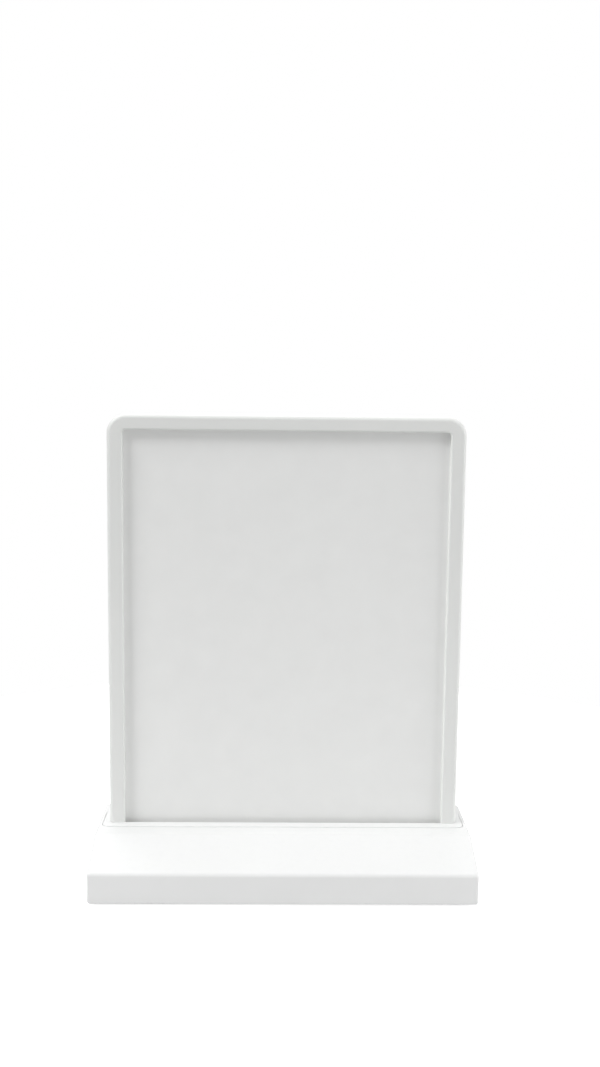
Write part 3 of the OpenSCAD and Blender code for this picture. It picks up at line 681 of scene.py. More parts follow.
def finish_surface(tree, shader, tone, drift, patch, low, high):
    """Roughness that drifts between two values, and the tone's own drift as a colour."""
    tones = {"Tone": opaque(tone), "Other tone": scaled(tone, drift), "Scale": 1 / patch}
    drifting = effect(tree, "Tone drift", tones)
    rough = effect(tree, "Roughness drift", {"Low": low, "High": high, "Scale": 2 / patch})
    tree.links.new(rough, shader["Roughness"])
    return drifting


def finishes():
    """The finish properties."""
    return bpy.context.scene.lightbox_finish


def plastic(name):
    """Satin moulded plastic with a fine grain, rubbed edges and a little dust, made once for each name."""
    if name in bpy.data.materials:
        return bpy.data.materials[name]
    key, low, high, relief = PLASTICS[name]
    finish = finishes()
    tone = getattr(finish, key)
    material, tree, shader = new_material(name, ior=PLASTIC_IOR)
    drifting = finish_surface(tree, shader, tone, PLASTIC_DRIFT, finish.patch, low, high)
    rub = effect(tree, "Edge wear", {"Width": 0.5 * MM, "Scale": 1 / (5 * MM)})
    rubbed = mix_colour(tree, rub, drifting, scaled(tone, PLASTIC_RUB))
    dust = effect(tree, "Settled dust", {"Scale": 1 / (2.5 * MM)})
    dusted = mix_colour(tree, dust, rubbed, scaled(tone, PLASTIC_DUST))
    tree.links.new(dusted, shader["Base Color"])
    bump(tree, shader, effect(tree, "Moulded grain", {"Scale": 1 / finish.grain}), depth=relief * MM)
    return material


def matte_sheet(name, tone):
    """Matte film with a fine tooth and faint clouding."""
    finish = finishes()
    material, tree, shader = new_material(name, ior=FILM_IOR, specular_ior_level=0.25)
    drifting = finish_surface(tree, shader, tone, SHEET_DRIFT, finish.patch / 2, low=0.62, high=0.74)
    tree.links.new(drifting, shader["Base Color"])
    bump(tree, shader, effect(tree, "Moulded grain", {"Scale": 2 / finish.grain}), depth=0.006 * MM)
    return material


def soft_matte(name):
    """Matte material with a drifting tone and a grain, such as rubber, resin, nylon or foam."""
    key, low, high, grain, relief = MATTES[name]
    tone = getattr(finishes(), key)
    material, tree, shader = new_material(name, ior=PLASTIC_IOR)
    drifting = finish_surface(tree, shader, tone, MATTE_DRIFT, 3 * MM, low, high)
    rub = effect(tree, "Edge wear", {"Width": 0.25 * MM, "Scale": 1 / (1.5 * MM)})
    tree.links.new(mix_colour(tree, rub, drifting, scaled(tone, MATTE_RUB)), shader["Base Color"])
    bump(tree, shader, effect(tree, "Moulded grain", {"Scale": 1 / (grain * MM)}), depth=relief * MM)
    return material


def metal(name):
    """Drawn metal with fine lines, made once for each name."""
    if name in bpy.data.materials:
        return bpy.data.materials[name]
    key, low, high, line = METALS[name]
    tone = getattr(finishes(), key)
    material, tree, shader = new_material(name, metallic=1.0)
    drifting = finish_surface(tree, shader, tone, METAL_DRIFT, 2 * MM, low, high)
    rub = effect(tree, "Edge wear", {"Width": 0.15 * MM, "Scale": 1 / (1 * MM)})
    tree.links.new(mix_colour(tree, rub, drifting, scaled(tone, METAL_RUB)), shader["Base Color"])
    bump(tree, shader, effect(tree, "Drawn lines", {"Scale": 1 / (line * MM)}), depth=0.004 * MM)
    return material


def clear_plastic(name, tone, spot, clearness):
    """Clear plastic with fine etched spots."""
    material, tree, shader = new_material(name, ior=ACRYLIC_IOR, transmission_weight=clearness)
    shader["Base Color"].default_value = opaque(tone)
    dots = node(tree, "ShaderNodeTexVoronoi", {
        "Vector": object_place(tree), "Scale": 1 / spot, "Randomness": 0.0,
    })
    etched = spread(tree, dots.outputs["Distance"], 0.28, 0.34, to=(0.45, 0.12))
    tree.links.new(etched, shader["Roughness"])
    bump(tree, shader, etched, depth=0.003 * MM)
    return material


def circuit_board(name, tone, trace_tone, pitch):
    """Solder mask over runs of copper traces and a few pads."""
    material, tree, shader = new_material(name, ior=PLASTIC_IOR)
    drifting = finish_surface(tree, shader, tone, BOARD_DRIFT, 6 * MM, low=0.28, high=0.4)
    where = object_place(tree)
    runs = node(tree, "ShaderNodeTexBrick", {
        "Vector": where, "Scale": 1 / pitch, "Mortar Size": 0.05, "Mortar Smooth": 0.2,
        "Brick Width": 4.3, "Row Height": 0.32,
    }, offset=0.37, offset_frequency=3, squash=0.45, squash_frequency=4)
    areas = node(tree, "ShaderNodeTexVoronoi", {"Vector": where, "Scale": 0.35 / pitch}, distance="CHEBYCHEV")
    trace = product(tree, runs.outputs["Fac"], spread(tree, areas.outputs["Distance"], 0.34, 0.36))
    tree.links.new(mix_colour(tree, trace, drifting, opaque(trace_tone)), shader["Base Color"])
    bump(tree, shader, trace, depth=0.02 * MM)
    return material


def crinkled_foil(name, tone):
    """Aluminium pouch foil with small creases."""
    material, tree, shader = new_material(name, metallic=1.0)
    drifting = finish_surface(tree, shader, tone, FOIL_DRIFT, 9 * MM, low=0.28, high=0.46)
    tree.links.new(drifting, shader["Base Color"])
    creases = {"Vector": object_place(tree), "Scale": FOIL_CREASES}
    folds = node(tree, "ShaderNodeTexVoronoi", creases, feature="SMOOTH_F1")
    bump(tree, shader, folds.outputs["Distance"], depth=0.25 * MM)
    return material


# Stage


def look_matrix(stage):
    """Camera matrix from its place, pitch, yaw and roll."""
    ahead = Vector((
        math.sin(stage.yaw) * math.cos(stage.pitch),
        math.cos(stage.yaw) * math.cos(stage.pitch),
        -math.sin(stage.pitch),
    ))
    right = Vector((math.cos(stage.yaw), -math.sin(stage.yaw), 0.0))
    down = ahead.cross(right)
    leaned_right = math.cos(stage.roll) * right + math.sin(stage.roll) * down
    leaned_down = math.cos(stage.roll) * down - math.sin(stage.roll) * right
    turn = Matrix((leaned_right, -leaned_down, -ahead)).transposed().to_4x4()
    return Matrix.Translation(stage.eye) @ turn


def add_softbox(name, where, aim, size, power):
    """Square softbox that points at a place."""
    data = bpy.data.lights.new(name, "AREA")
    data.shape = "SQUARE"
    data.size = size
    data.energy = power
    lamp = bpy.data.objects.new(name, data)
    lamp.location = where
    lamp.rotation_euler = (Vector(aim) - Vector(where)).to_track_quat("-Z", "Y").to_euler()
    bpy.context.scene.collection.objects.link(lamp)


def make_world(stage):
    """Even light from all round, with a white background to look at."""
    world = bpy.data.worlds.new("Studio")
    world.use_nodes = True
    tree = world.node_tree
    tree.nodes.clear()
    light = node(tree, "ShaderNodeBackground", {"Color": opaque((1, 1, 1)), "Strength": stage.ambient})
    white = node(tree, "ShaderNodeBackground", {"Color": opaque((1, 1, 1)), "Strength": 1.0})
    path = tree.nodes.new("ShaderNodeLightPath")
    seen = node(tree, "ShaderNodeMixShader", {
        0: path.outputs["Is Camera Ray"], 1: light.outputs[0], 2: white.outputs[0],
    })
    node(tree, "ShaderNodeOutputWorld", {"Surface": seen.outputs[0]})
    bpy.context.scene.world = world


def make_floor(stage):
    """Pale round floor, lifted towards white where the camera looks straight at it."""
    material, tree, shader = new_material("Pale floor")
    shader["Emission Color"].default_value = opaque([stage.floor_glow] * 3)
    seen = tree.nodes.new("ShaderNodeLightPath").outputs["Is Camera Ray"]
    tree.links.new(seen, shader["Emission Strength"])
    drifting = finish_surface(tree, shader, stage.floor, FLOOR_DRIFT, 100 * MM, low=0.6, high=0.7)
    tree.links.new(drifting, shader["Base Color"])
    bm = bmesh.new()
    bmesh.ops.create_circle(bm, cap_ends=True, segments=FLOOR_STEPS, radius=stage.floor_radius)
    floor = loose_object("floor", bm)
    floor.data.materials.append(material)


class LIGHTBOX_OT_stage(Operator):
    """Set the camera, the floor and the lights"""

    bl_idname = "lightbox.stage"
    bl_label = "Stage"

    def execute(self, context):
        stage = context.scene.lightbox_stage
        data = bpy.data.cameras.new("camera")
        data.lens = stage.lens
        data.clip_start = CLIP_START
        camera = bpy.data.objects.new("camera", data)
        camera.matrix_world = look_matrix(stage)
        context.scene.collection.objects.link(camera)
        context.scene.camera = camera
        context.scene.view_settings.view_transform = "Standard"
        make_world(stage)
        make_floor(stage)
        aim = (0.0, 0.0, (CAD_BOX[0][2] + CAD_BOX[1][2]) / 2)
        for key in SOFTBOXES:
            where, side, power = [getattr(stage, key + part) for part in ("_place", "_size", "_power")]
            add_softbox(key + " softbox", where, aim, side, power)
        return {"FINISHED"}


# Base shell


def base_outline(sizes):
    """Outline of the base seen from its end, anticlockwise from the lower front edge, as (y, z)."""
    y, under, top = BASE_HIGH.y, BASE_LOW.z, BASE_HIGH.z
    face, flat = under + sizes.face_height, sizes.flat_depth / 2
    return [(-y, under), (y, under), (y, face), (flat, top), (-flat, top), (-y, face)]


def base_profile(sizes):
    """Rear half of the rounded outline from the bottom up.

    Each row is (end reach, y, z, core, end rounding, facing).
    """
    outline = base_outline(sizes)
    end, under = sizes.end_round, BASE_LOW.z
    reach, side = BASE_HIGH.x - end, BASE_HIGH.y - end
    crease, top = inset(outline, sizes.crease_round)[2], inset(outline, sizes.top_round)[3]
    slope = math.atan2(outline[2][0] - outline[3][0], outline[3][1] - outline[2][1])
    profile = [
        (reach, side, under, 0.0, end - sizes.chamfer, 0.0),
        (reach, side, under + sizes.chamfer, 0.0, end, 0.0),
    ]
    for k in range(ARC_STEPS + 1):
        profile.append((reach, crease.x, crease.y, sizes.crease_round - end, end, slope * k / ARC_STEPS))
    for k in range(ARC_STEPS + 1):
        facing = slope + (math.pi / 2 - slope) * k / ARC_STEPS
        profile.append((reach, top.x, top.y, sizes.top_round - end, end, facing))
    return profile


def base_ring(profile, end, turn):
    """Ring of the base across X, at an end and a turn of that end's rounding."""
    half = []
    for reach, y, z, core, rounding, facing in profile:
        out = core + rounding * math.cos(turn)
        x = reach + rounding * math.sin(turn)
        half.append((x, y + out * math.cos(facing), z + out * math.sin(facing)))
    rear = [(end * x, y, z) for x, y, z in half]
    front = [(end * x, -y, z) for x, y, z in reversed(half)]
    return rear + front


def base_solid(sizes):
    """Whole rounded body of the base."""
    profile = base_profile(sizes)
    turns = [math.pi / 2 * k / ARC_STEPS for k in range(ARC_STEPS + 1)]
    left = [base_ring(profile, -1, turn) for turn in reversed(turns)]
    return solid(left + [base_ring(profile, 1, turn) for turn in turns])


def mouth(rim, inner, outer):
    """Profile of a hole with a softened rim, as (extra radius, place along the hole) from outside in."""
    return [(extra * rim, outer - depth * rim) for extra, depth in RIM_SHAPE] + [(0.0, inner)]


def rear_hole(x, z, run, radius, rim, inner, outer):
    """Rings of a round or long hole through the rear wall."""
    return [capsule(x, z, run, radius + extra, y) for extra, y in mouth(rim, inner, outer)]


def dish_ball(rear):
    """Radius of the ball that presses the finger dish, and the place of its middle along Y."""
    half = rear.dish_width / 2
    ball = (half * half + rear.dish_depth * rear.dish_depth) / (2 * rear.dish_depth)
    return ball, BASE_HIGH.y - rear.dish_depth + ball


def dish_face(rear, radius):
    """Place along Y of the finger dish at a radius."""
    ball, middle = dish_ball(rear)
    return middle - math.sqrt(ball * ball - radius * radius)


def finger_dish(rear, x, z):
    """Rings of the ball that presses the finger dish into the rear face."""
    widest = DISH_REACH * rear.dish_width
    radii = [widest * k / (2 * ARC_STEPS) for k in range(1, 2 * ARC_STEPS + 1)]
    rings = [capsule(x, z, 0.0, radius, dish_face(rear, radius)) for radius in radii]
    return rings + [capsule(x, z, 0.0, widest, BASE_HIGH.y + rear.dish_depth)]


def shell_cavity(sizes):
    """Rings of the hollow inside the base."""
    inner = inset(base_outline(sizes), sizes.wall)
    floor = BASE_LOW.z - sizes.wall
    outline = [(inner[1].x, floor), *inner[2:], (inner[0].x, floor)]
    reach = BASE_HIGH.x - sizes.wall
    return [[(x, y, z) for y, z in outline] for x in (-reach, reach)]


def screw_bosses(sizes):
    """Rings of the four bosses for the cover screws, up into the slopes."""
    x, y = SCREWS_HIGH.x - sizes.screw_head / 2, SCREWS_HIGH.y - sizes.screw_head / 2
    flat = sizes.flat_depth / 2
    fall = (BASE_HIGH.z - BASE_LOW.z - sizes.face_height) / (BASE_HIGH.y - flat)
    ceiling = BASE_HIGH.z - fall * (y + sizes.boss_width / 2 - flat) - sizes.wall / 2
    low = COVER_HIGH.z + sizes.boss_foot
    corners = [(side_x, side_y) for side_x in (-x, x) for side_y in (-y, y)]
    return [[circle(corner, sizes.boss_width / 2, z) for z in (low, ceiling)] for corner in corners]


def rear_openings(sizes, rear):
    """Rings of the dish, the bore, the port opening and the lamp hole in the rear wall."""
    inner, outer = BASE_HIGH.y - sizes.wall, BASE_HIGH.y
    button, port, lens = BUTTON_MIDDLE, PORT_MIDDLE, LENS_MIDDLE
    bore = (BUTTON_HIGH.x - BUTTON_LOW.x) / 2 - rear.button_step + rear.button_gap
    port_half = (PORT_HIGH - PORT_LOW) / 2
    port_run, port_radius = 2 * (port_half.x - port_half.z), port_half.z + rear.port_gap
    pipe = (LENS_HIGH.x - LENS_LOW.x) / 2 - rear.lens_step + rear.lens_gap
    behind = inner - 2 * rear.pad_depth
    return [
        finger_dish(rear, button.x, button.z),
        rear_hole(button.x, button.z, 0.0, bore, sizes.rim, behind, dish_face(rear, bore)),
        rear_hole(port.x, port.z, port_run, port_radius, sizes.rim, behind, outer),
        rear_hole(lens.x, lens.z, 0.0, pipe, sizes.rim / 2, behind, outer),
    ]


def button_pad(sizes, rear):
    """Rings of the thicker wall behind the button."""
    inner, button = BASE_HIGH.y - sizes.wall, BUTTON_MIDDLE
    low = (button.x - rear.pad_width / 2, inner - rear.pad_depth, COVER_HIGH.z)
    high = (button.x + rear.pad_width / 2, inner + sizes.wall / 2, button.z + rear.dish_width / 2)
    return block(low, high, sizes.wall / 4)


def collar_openings(sizes, socket):
    """Rings of the collar's recess and of the opening for its well."""
    seam = socket.seam
    half_x, half_y, corner = COLLAR_HIGH.x + seam, COLLAR_HIGH.y + seam, socket.corner_round + seam
    recess = [
        level(round_rect(half_x + extra, half_y + extra, corner + extra), z)
        for extra, z in mouth(sizes.rim, COLLAR_HIGH.z - socket.plate, BASE_HIGH.z)
    ]
    well = round_rect(*[half + seam for half in well_size(socket)], socket.well_round)
    return [recess, [level(well, z) for z in (BASE_HIGH.z - 2 * sizes.wall, COLLAR_HIGH.z)]]


class LIGHTBOX_OT_base_shell(Operator):
    """Build the base shell with its socket recess and rear openings"""

    bl_idname = "lightbox.base_shell"
    bl_label = "Base shell"

    def execute(self, context):
        sizes, rear = context.scene.lightbox_base, context.scene.lightbox_rear
        socket = context.scene.lightbox_socket
        bm = combine(base_solid(sizes), solid(shell_cavity(sizes)), "DIFFERENCE")
        bm = combine(bm, solid(button_pad(sizes, rear), *screw_bosses(sizes)), "UNION")
        for rings in collar_openings(sizes, socket) + rear_openings(sizes, rear):
            bm = combine(bm, solid(rings), "DIFFERENCE")
        piece("base_housing", bm, "base", ["base_shell"], [plastic("Base plastic")])
        return {"FINISHED"}


# Socket collar


def slot_size(socket):
    """Half length and half width of the slot, from the tongue and its gap."""
    display = bpy.context.scene.lightbox_display
    tongue_x = FRAME_HIGH.x - (display.rail - display.groove) + display.tongue_end
    tongue_y = -FRAME_LOW.y - display.lip + display.tongue_wall
    return tongue_x + socket.slot_gap, tongue_y + socket.slot_gap


def well_size(socket):
    """Half length and half width of the well, outside."""
    return [half + socket.wall for half in slot_size(socket)]


class LIGHTBOX_OT_socket_collar(Operator):
    """Build the collar plate and the well below it"""

    bl_idname = "lightbox.socket_collar"
    bl_label = "Socket collar"

    def execute(self, context):
        socket = context.scene.lightbox_socket
        top, under = COLLAR_HIGH.z, COLLAR_HIGH.z - socket.plate
        slot, well = slot_size(socket), well_size(socket)
        edge, rim = socket.edge_round, socket.slot_rim

        def plate(trim, z):
            half_x, half_y = COLLAR_HIGH.x - trim, COLLAR_HIGH.y - trim
            return level(round_rect(half_x, half_y, socket.corner_round - trim), z)

        def opening(extra, z):
            return level(round_rect(slot[0] + extra, slot[1] + extra, socket.slot_round + extra), z)

        rings = [level(round_rect(*well, socket.well_round), z) for z in (COLLAR_LOW.z, under)]
        rings += [plate(rim, under), plate(0.0, under + rim)]
        rings += [plate(edge - x, top - edge + z) for x, z in arc((0, 0), edge, 0, 90)]
        rings += [opening(rim - x, top - rim + z) for x, z in arc((0, 0), rim, 90, 0)]
        rings += [opening(0.0, STRIP_LOW.z)]
        heights = (COLLAR_LOW.z - socket.wall, STRIP_HIGH.z)
        hole = [circle((-socket.lead_reach, 0.0), socket.lead_hole / 2, z) for z in heights]
        bm = combine(solid(rings), solid(hole), "DIFFERENCE")
        piece("socket_plate", bm, "base", ["socket_collar"], [plastic("Base plastic")])
        return {"FINISHED"}


# Display frame


def rail_section(display):
    """Half section of a rail as (distance out from the window, distance from the parting plane)."""
    face = -FRAME_LOW.y
    back = face - display.lip
    rail, outer = display.rail, display.outer_round
    inner, part = display.window_round, display.parting_round
    return [
        *arc((rail - part, part), part, -90, 0, FINE_STEPS),
        *arc((rail - outer, face - outer), outer, 0, 90),
        *arc((inner, face - inner), inner, 90, 180),
        (0.0, back), (display.groove, back), (display.groove, 0.0),
    ]


def rail_stations(display):
    """Places along the frame from one foot over the top to the other.

    Each row is (x, z, outward x, outward z, trim).
    """
    window_x = FRAME_HIGH.x - display.rail
    window_z = FRAME_HIGH.z - display.rail
    corner, foot, shoulder = display.window_corner, display.foot_round, COLLAR_HIGH.z
    leg = [(shoulder + foot - z, foot - x) for x, z in arc((0, 0), foot, 90, 0)]
    stations = [(window_x, z, 1.0, 0.0, trim) for z, trim in leg]
    for side, start in ((1, 0), (-1, 90)):
        for out_x, out_z in arc((0, 0), 1.0, start, start + 90, 2 * ARC_STEPS):
            x = side * (window_x - corner) + corner * out_x
            stations.append((x, window_z - corner + corner * out_z, out_x, out_z, 0.0))
    return stations + [(-window_x, z, -1.0, 0.0, trim) for z, trim in reversed(leg)]


def rail_rings(display, side):
    """Rings of one half of the frame; side is -1 for the front half and 1 for the rear half."""
    section = rail_section(display)
    rings = []
    for x, z, out_x, out_z, trim in rail_stations(display):
        reach = [min(out, display.rail - trim) for out, _ in section]
        rings.append([
            (x + out_x * out, side * depth, z + out_z * out) for out, (_, depth) in zip(reach, section)
        ])
    return rings


def tongue_rings(display, side):
    """Rings of the channel below the legs that goes into the socket."""
    socket = bpy.context.scene.lightbox_socket
    tongue_x, tongue_y = [half - socket.slot_gap for half in slot_size(socket)]
    back = -FRAME_LOW.y - display.lip
    end = tongue_x - display.tongue_end
    lead = display.tongue_lead
    rings = []
    for trim, z in [(lead, FRAME_LOW.z), (0.0, FRAME_LOW.z + lead), (0.0, COLLAR_HIGH.z)]:
        x, y = tongue_x - trim, tongue_y - trim - lead
        outline = [
            (x, 0.0), *arc((x - lead, y), lead, 0, 90, FINE_STEPS),
            *arc((lead - x, y), lead, 90, 180, FINE_STEPS), (-x, 0.0),
            (-end, 0.0), (-end, back), (end, back), (end, 0.0),
        ]
        rings.append([(x, side * y, z) for x, y in outline])
    return rings


def frame_half(name, side, node_name, material, display):
    """One half of the display frame."""
    back = -FRAME_LOW.y - display.lip
    window_x = FRAME_HIGH.x - display.rail
    bm = solid(rail_rings(display, side))
    bm = combine(bm, solid(tongue_rings(display, side)), "UNION")
    ys = sorted((side * back / 2, side * 2 * back))
    notch_low = (-window_x, ys[0], COLLAR_HIGH.z - display.tongue_drop)
    notch_high = (window_x, ys[1], COLLAR_HIGH.z + display.tongue_drop)
    bm = combine(bm, solid(block(notch_low, notch_high, display.ledge_round)), "DIFFERENCE")
    ledges = []
    for end in (-1, 1):
        xs = sorted((end * window_x, end * (window_x + display.groove + display.tongue_end / 2)))
        ys = sorted((0.0, side * (back + display.tongue_wall / 2)))
        ledges.append(block((xs[0], ys[0], FRAME_LOW.z), (xs[1], ys[1], SHEET_LOW.z), display.ledge_round))
    bm = combine(bm, solid(*ledges), "UNION")
    piece(name, bm, "display", [node_name], [material])


class LIGHTBOX_OT_frame_halves(Operator):
    """Build the front and rear halves of the display frame"""

    bl_idname = "lightbox.frame_halves"
    bl_label = "Frame halves"

    def execute(self, context):
        display, material = context.scene.lightbox_display, plastic("Frame plastic")
        frame_half("front_frame_half", -1, "front_frame", material, display)
        frame_half("rear_frame_half", 1, "rear_frame", material, display)
        return {"FINISHED"}


# Sheets and the layers behind them


def sheet_rings(display, side):
    """Rings of an insert sheet with rounded upper corners and eased edges."""
    radius = display.window_corner + display.groove
    half, low, high = SHEET_HIGH.x, SHEET_LOW.z, SHEET_HIGH.z
    front, behind = -SHEET_LOW.y, -SHEET_HIGH.y
    ease = (front - behind) / 4
    rings = []
    for trim, y in [(ease, behind), (0.0, behind + ease), (0.0, front - ease), (ease, front)]:
        x, top = half - trim, high - trim
        outline = [
            (-x, low + trim), (x, low + trim),
            *arc((x - radius, top - radius), radius, 0, 90),
            *arc((radius - x, top - radius), radius, 90, 180),
        ]
        rings.append([(px, side * y, pz) for px, pz in outline])
    return rings


class LIGHTBOX_OT_insert_sheets(Operator):
    """Build the blank insert sheets and finish the layers behind them"""

    bl_idname = "lightbox.insert_sheets"
    bl_label = "Insert sheets"

    def execute(self, context):
        display, finish = context.scene.lightbox_display, finishes()
        film = matte_sheet("Insert sheet", finish.sheet)
        for name, side, node_name in [("front_insert", -1, "front_sheet"), ("rear_insert", 1, "rear_sheet")]:
            piece(name, solid(sheet_rings(display, side)), "display", [node_name], [film])
        opal = matte_sheet("Opal panel", scaled(finish.sheet, OPAL_TONE))
        for name in ("front_panel", "rear_panel"):
            dress(name, opal)
        dress("light_guide", clear_plastic("Light guide", finish.guide, spot=1.2 * MM, clearness=1.0))
        dress("edge_tape", soft_matte("Edge tape"))
        return {"FINISHED"}


# Rear face


def button_rings(rear):
    """Rings of the button: flange, cap, hollow face and a raised dot to feel for."""
    middle = BUTTON_MIDDLE
    flange = (BUTTON_HIGH.x - BUTTON_LOW.x) / 2
    face, back, edge, dot = BUTTON_HIGH.y, BUTTON_LOW.y, rear.button_edge, rear.button_dot
    cap, shoulder, soft = flange - rear.button_step, back + rear.button_flange, rear.button_edge / 3
    profile = [(flange - soft, back), (flange, back + soft), (flange, shoulder - soft)]
    profile += [(flange - soft, shoulder), (cap, shoulder)]
    profile += [(cap - edge + x, face - edge + y) for x, y in arc((0, 0), edge, 0, 90)]
    for x, y in arc((0, 0), 1.0, 0, 90)[1:]:
        profile.append((dot + (cap - edge - dot) * x, face - rear.button_hollow * y))
    for x, y in arc((0, 0), dot, DOT_FOOT, DOME_END):
        profile.append((x, face - rear.button_hollow + y / 2))
    return [capsule(middle.x, middle.z, 0.0, radius, y) for radius, y in profile]


class LIGHTBOX_OT_power_button(Operator):
    """Build the push button and finish its switch"""

    bl_idname = "lightbox.power_button"
    bl_label = "Power button"

    def execute(self, context):
        cap = solid(button_rings(context.scene.lightbox_rear))
        piece("button_cap", cap, "button", ["power_button"], [plastic("Button plastic")])
        dress("switch_plunger", soft_matte("Switch plunger"))
        dress("button_switch", soft_matte("Switch body"), bevel=0.08 * MM)
        return {"FINISHED"}


def port_rings(rear):
    """Rings of the port's drawn shell: closed back, outside, rolled mouth and inside."""
    middle, half = PORT_MIDDLE, (PORT_HIGH - PORT_LOW) / 2
    run, radius, sheet = 2 * (half.x - half.z), half.z, rear.port_sheet
    profile = [(radius - sheet, PORT_LOW.y), (radius, PORT_LOW.y + sheet)]
    profile += arc((radius - sheet / 2, PORT_HIGH.y - sheet / 2), sheet / 2, 0, 180)
    profile += [(radius - sheet, PORT_LOW.y + sheet)]
    return [capsule(middle.x, middle.z, run, r, y) for r, y in profile]


def tongue_mesh(rear):
    """Port tongue with its root and two rows of gilt contacts."""
    low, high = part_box("usb_tongue")
    middle = (low.z + high.z) / 2
    under, over = middle - rear.blade / 2, middle + rear.blade / 2
    bm = bmesh.new()
    skin(bm, block(low, (high.x, low.y + rear.blade_root, high.z), rear.blade / 4))
    skin(bm, block((low.x, low.y, under), (high.x, high.y, over), rear.blade / 4))
    step = (high.x - low.x) / rear.contacts
    for k in range(rear.contacts):
        x = low.x + (k + 0.5) * step
        for z in (under, over):
            corner = (x - rear.contact_width / 2, low.y + rear.blade_root, z - rear.contact_rise)
            other = (x + rear.contact_width / 2, high.y - rear.blade, z + rear.contact_rise)
            skin(bm, block(corner, other, rear.contact_rise), slot=1)
    return clean(bm)


def lens_rings(sizes, rear):
    """Rings of the light pipe: pipe, flange against the wall and a low dome."""
    middle = LENS_MIDDLE
    flange = (LENS_HIGH.x - LENS_LOW.x) / 2
    pipe, inner, dome = flange - rear.lens_step, BASE_HIGH.y - sizes.wall, rear.lens_dome
    start = inner - rear.lens_flange
    profile = [(pipe, LENS_LOW.y), (pipe, start), (flange, start), (flange, inner), (pipe, inner)]
    profile += [(pipe * x, LENS_HIGH.y - dome + dome * y) for x, y in arc((0, 0), 1.0, 0, DOME_END)]
    return [capsule(middle.x, middle.z, 0.0, radius, y) for radius, y in profile]


class LIGHTBOX_OT_charging_port(Operator):
    """Build the charging port with its contacts, and the charging lamp's light pipe"""

    bl_idname = "lightbox.charging_port"
    bl_label = "Charging port"

    def execute(self, context):
        sizes, rear = context.scene.lightbox_base, context.scene.lightbox_rear
        shell, lens = solid(port_rings(rear)), solid(lens_rings(sizes, rear))
        resin, gilt = soft_matte("Port resin"), metal("Gilt contacts")
        frosted = clear_plastic("Lamp lens", finishes().lens, spot=0.12 * MM, clearness=0.3)
        piece("port_shell", shell, "base", ["usb_port"], [metal("Port steel")])
        piece("port_tongue", tongue_mesh(rear), "base", ["usb_tongue"], [resin, gilt])
        piece("lamp_lens", lens, "base", ["charge_lens"], [frosted])
        return {"FINISHED"}


# Underside


def foot_rings(sizes, middle):
    """Rings of a rubber foot with a rounded lower rim and a shallow cup."""
    radius, rim, cup, low = sizes.foot_width / 2, sizes.foot_round, sizes.foot_cup / 2, FEET_LOW.z
    floor = low + sizes.foot_cup_depth
    profile = [(cup - sizes.foot_round, floor), (cup, floor), (cup + sizes.foot_cup_depth, low)]
    profile += [(radius - rim + x, low + rim + z) for x, z in arc((0, 0), rim, -90, 0)]
    profile += [(radius, FEET_HIGH.z)]
    return [circle(middle, r, z) for r, z in profile]


class LIGHTBOX_OT_underside(Operator):
    """Build the rubber feet and finish the bottom cover and its screws"""

    bl_idname = "lightbox.underside"
    bl_label = "Underside"

    def execute(self, context):
        sizes = context.scene.lightbox_base
        foot_x, foot_y = FEET_HIGH.x - sizes.foot_width / 2, FEET_HIGH.y - sizes.foot_width / 2
        corners = [(x, y) for x in (-foot_x, foot_x) for y in (-foot_y, foot_y)]
        feet = solid(*[foot_rings(sizes, corner) for corner in corners])
        piece("foot_pads", feet, "base", ["rubber_feet"], [soft_matte("Foot rubber")])
        dress("bottom_cover", plastic("Base plastic"), bevel=0.2 * MM)
        dress("cover_screws", metal("Screw steel"), bevel=0.12 * MM)
        return {"FINISHED"}


# Inside


def led_mesh(leds):
    """Row of LED packages, each a white cup filled with phosphor."""
    half_x, half_y = leds.package / 2, (LEDS_HIGH.y - LEDS_LOW.y) / 2
    step, rim = (STRIP_HIGH.x - STRIP_LOW.x) / leds.count, LEDS_HIGH.z
    shape = [(0.0, LEDS_LOW.z), (0.0, rim - leds.edge), (leds.edge, rim)]
    shape += [(leds.cup_wall, rim), (leds.cup_wall, rim - leds.cup_depth)]
    bm = bmesh.new()
    for k in range(leds.count):
        middle = ((k - (leds.count - 1) / 2) * step, 0.0)
        skin(bm, [
            level(round_rect(half_x - trim, half_y - trim, leds.corner), z, middle) for trim, z in shape
        ], cap_slot=1)
    return clean(bm)


class LIGHTBOX_OT_led_strip(Operator):
    """Build the LED packages and finish their board"""

    bl_idname = "lightbox.led_strip"
    bl_label = "LED strip"

    def execute(self, context):
        finish = finishes()
        cup, phosphor = soft_matte("LED cup"), soft_matte("LED phosphor")
        packages = led_mesh(context.scene.lightbox_leds)
        piece("led_packages", packages, "base", ["leds"], [cup, phosphor])
        mask = circuit_board("LED board", finish.strip, scaled(finish.strip, STRIP_TRACE), pitch=3 * MM)
        dress("led_board", mask, bevel=0.1 * MM)
        return {"FINISHED"}


class LIGHTBOX_OT_electronics(Operator):
    """Finish the control board, its parts and the leads"""

    bl_idname = "lightbox.electronics"
    bl_label = "Electronics"

    def execute(self, context):
        finish = finishes()
        traces = scaled(finish.board, BOARD_TRACE)
        mask = circuit_board("Control board mask", finish.board, traces, pitch=2.4 * MM)
        nylon = soft_matte("Connector nylon")
        dress("control_board", mask, bevel=0.08 * MM)
        dress("board_chips", soft_matte("Chip resin"), bevel=0.08 * MM)
        dress("board_headers", nylon, bevel=0.1 * MM)
        dress("lead_plugs", nylon, bevel=0.1 * MM)
        dress("board_screws", metal("Screw steel"), bevel=0.08 * MM)
        dress("red_leads", soft_matte("Red lead"), rounds=2)
        dress("black_leads", soft_matte("Black lead"), rounds=2)
        return {"FINISHED"}


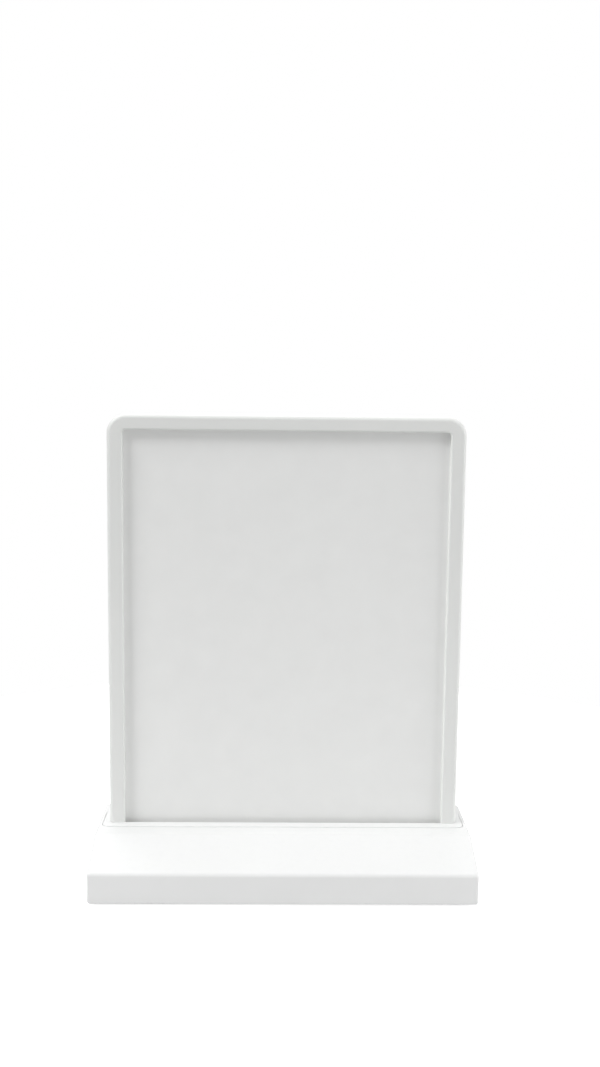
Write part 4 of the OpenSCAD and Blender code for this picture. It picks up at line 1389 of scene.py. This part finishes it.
class LIGHTBOX_OT_battery(Operator):
    """Finish the pouch cell and its foam pad"""

    bl_idname = "lightbox.battery"
    bl_label = "Battery"

    def execute(self, context):
        dress("battery_cell", crinkled_foil("Pouch foil", finishes().foil))
        dress("battery_pad", soft_matte("Pad foam"))
        return {"FINISHED"}


STEPS = [
    LIGHTBOX_OT_stage, LIGHTBOX_OT_base_shell, LIGHTBOX_OT_socket_collar, LIGHTBOX_OT_frame_halves,
    LIGHTBOX_OT_insert_sheets, LIGHTBOX_OT_power_button, LIGHTBOX_OT_charging_port, LIGHTBOX_OT_underside,
    LIGHTBOX_OT_led_strip, LIGHTBOX_OT_electronics, LIGHTBOX_OT_battery,
]
GROUPS = {
    "lightbox_base": LIGHTBOX_PG_base,
    "lightbox_rear": LIGHTBOX_PG_rear,
    "lightbox_socket": LIGHTBOX_PG_socket,
    "lightbox_display": LIGHTBOX_PG_display,
    "lightbox_leds": LIGHTBOX_PG_leds,
    "lightbox_finish": LIGHTBOX_PG_finish,
    "lightbox_stage": LIGHTBOX_PG_stage,
}


class LIGHTBOX_PT_panel(Panel):
    """Light box sizes, colours and steps"""

    bl_idname = "LIGHTBOX_PT_panel"
    bl_label = "Light box"
    bl_space_type = "VIEW_3D"
    bl_region_type = "UI"
    bl_category = "Light box"

    def draw(self, context):
        for step in STEPS:
            self.layout.operator(step.bl_idname)
        for name, kind in GROUPS.items():
            box = self.layout.box()
            box.label(text=kind.__doc__)
            for key in kind.__annotations__:
                box.prop(getattr(context.scene, name), key)


def register():
    """Add the classes and their settings to the scene."""
    for kind in [*GROUPS.values(), *STEPS, LIGHTBOX_PT_panel]:
        bpy.utils.register_class(kind)
    for name, kind in GROUPS.items():
        setattr(bpy.types.Scene, name, PointerProperty(type=kind))


def unregister():
    """Take the settings and the classes out again."""
    for name in GROUPS:
        delattr(bpy.types.Scene, name)
    for kind in [LIGHTBOX_PT_panel, *reversed(STEPS), *reversed(GROUPS.values())]:
        bpy.utils.unregister_class(kind)


def main():
    """Dress the light box step by step."""
    register()
    make_groups()
    for step in STEPS:
        area, name = step.bl_idname.split(".")
        getattr(getattr(bpy.ops, area), name)()


if __name__ == "__main__":
    main()
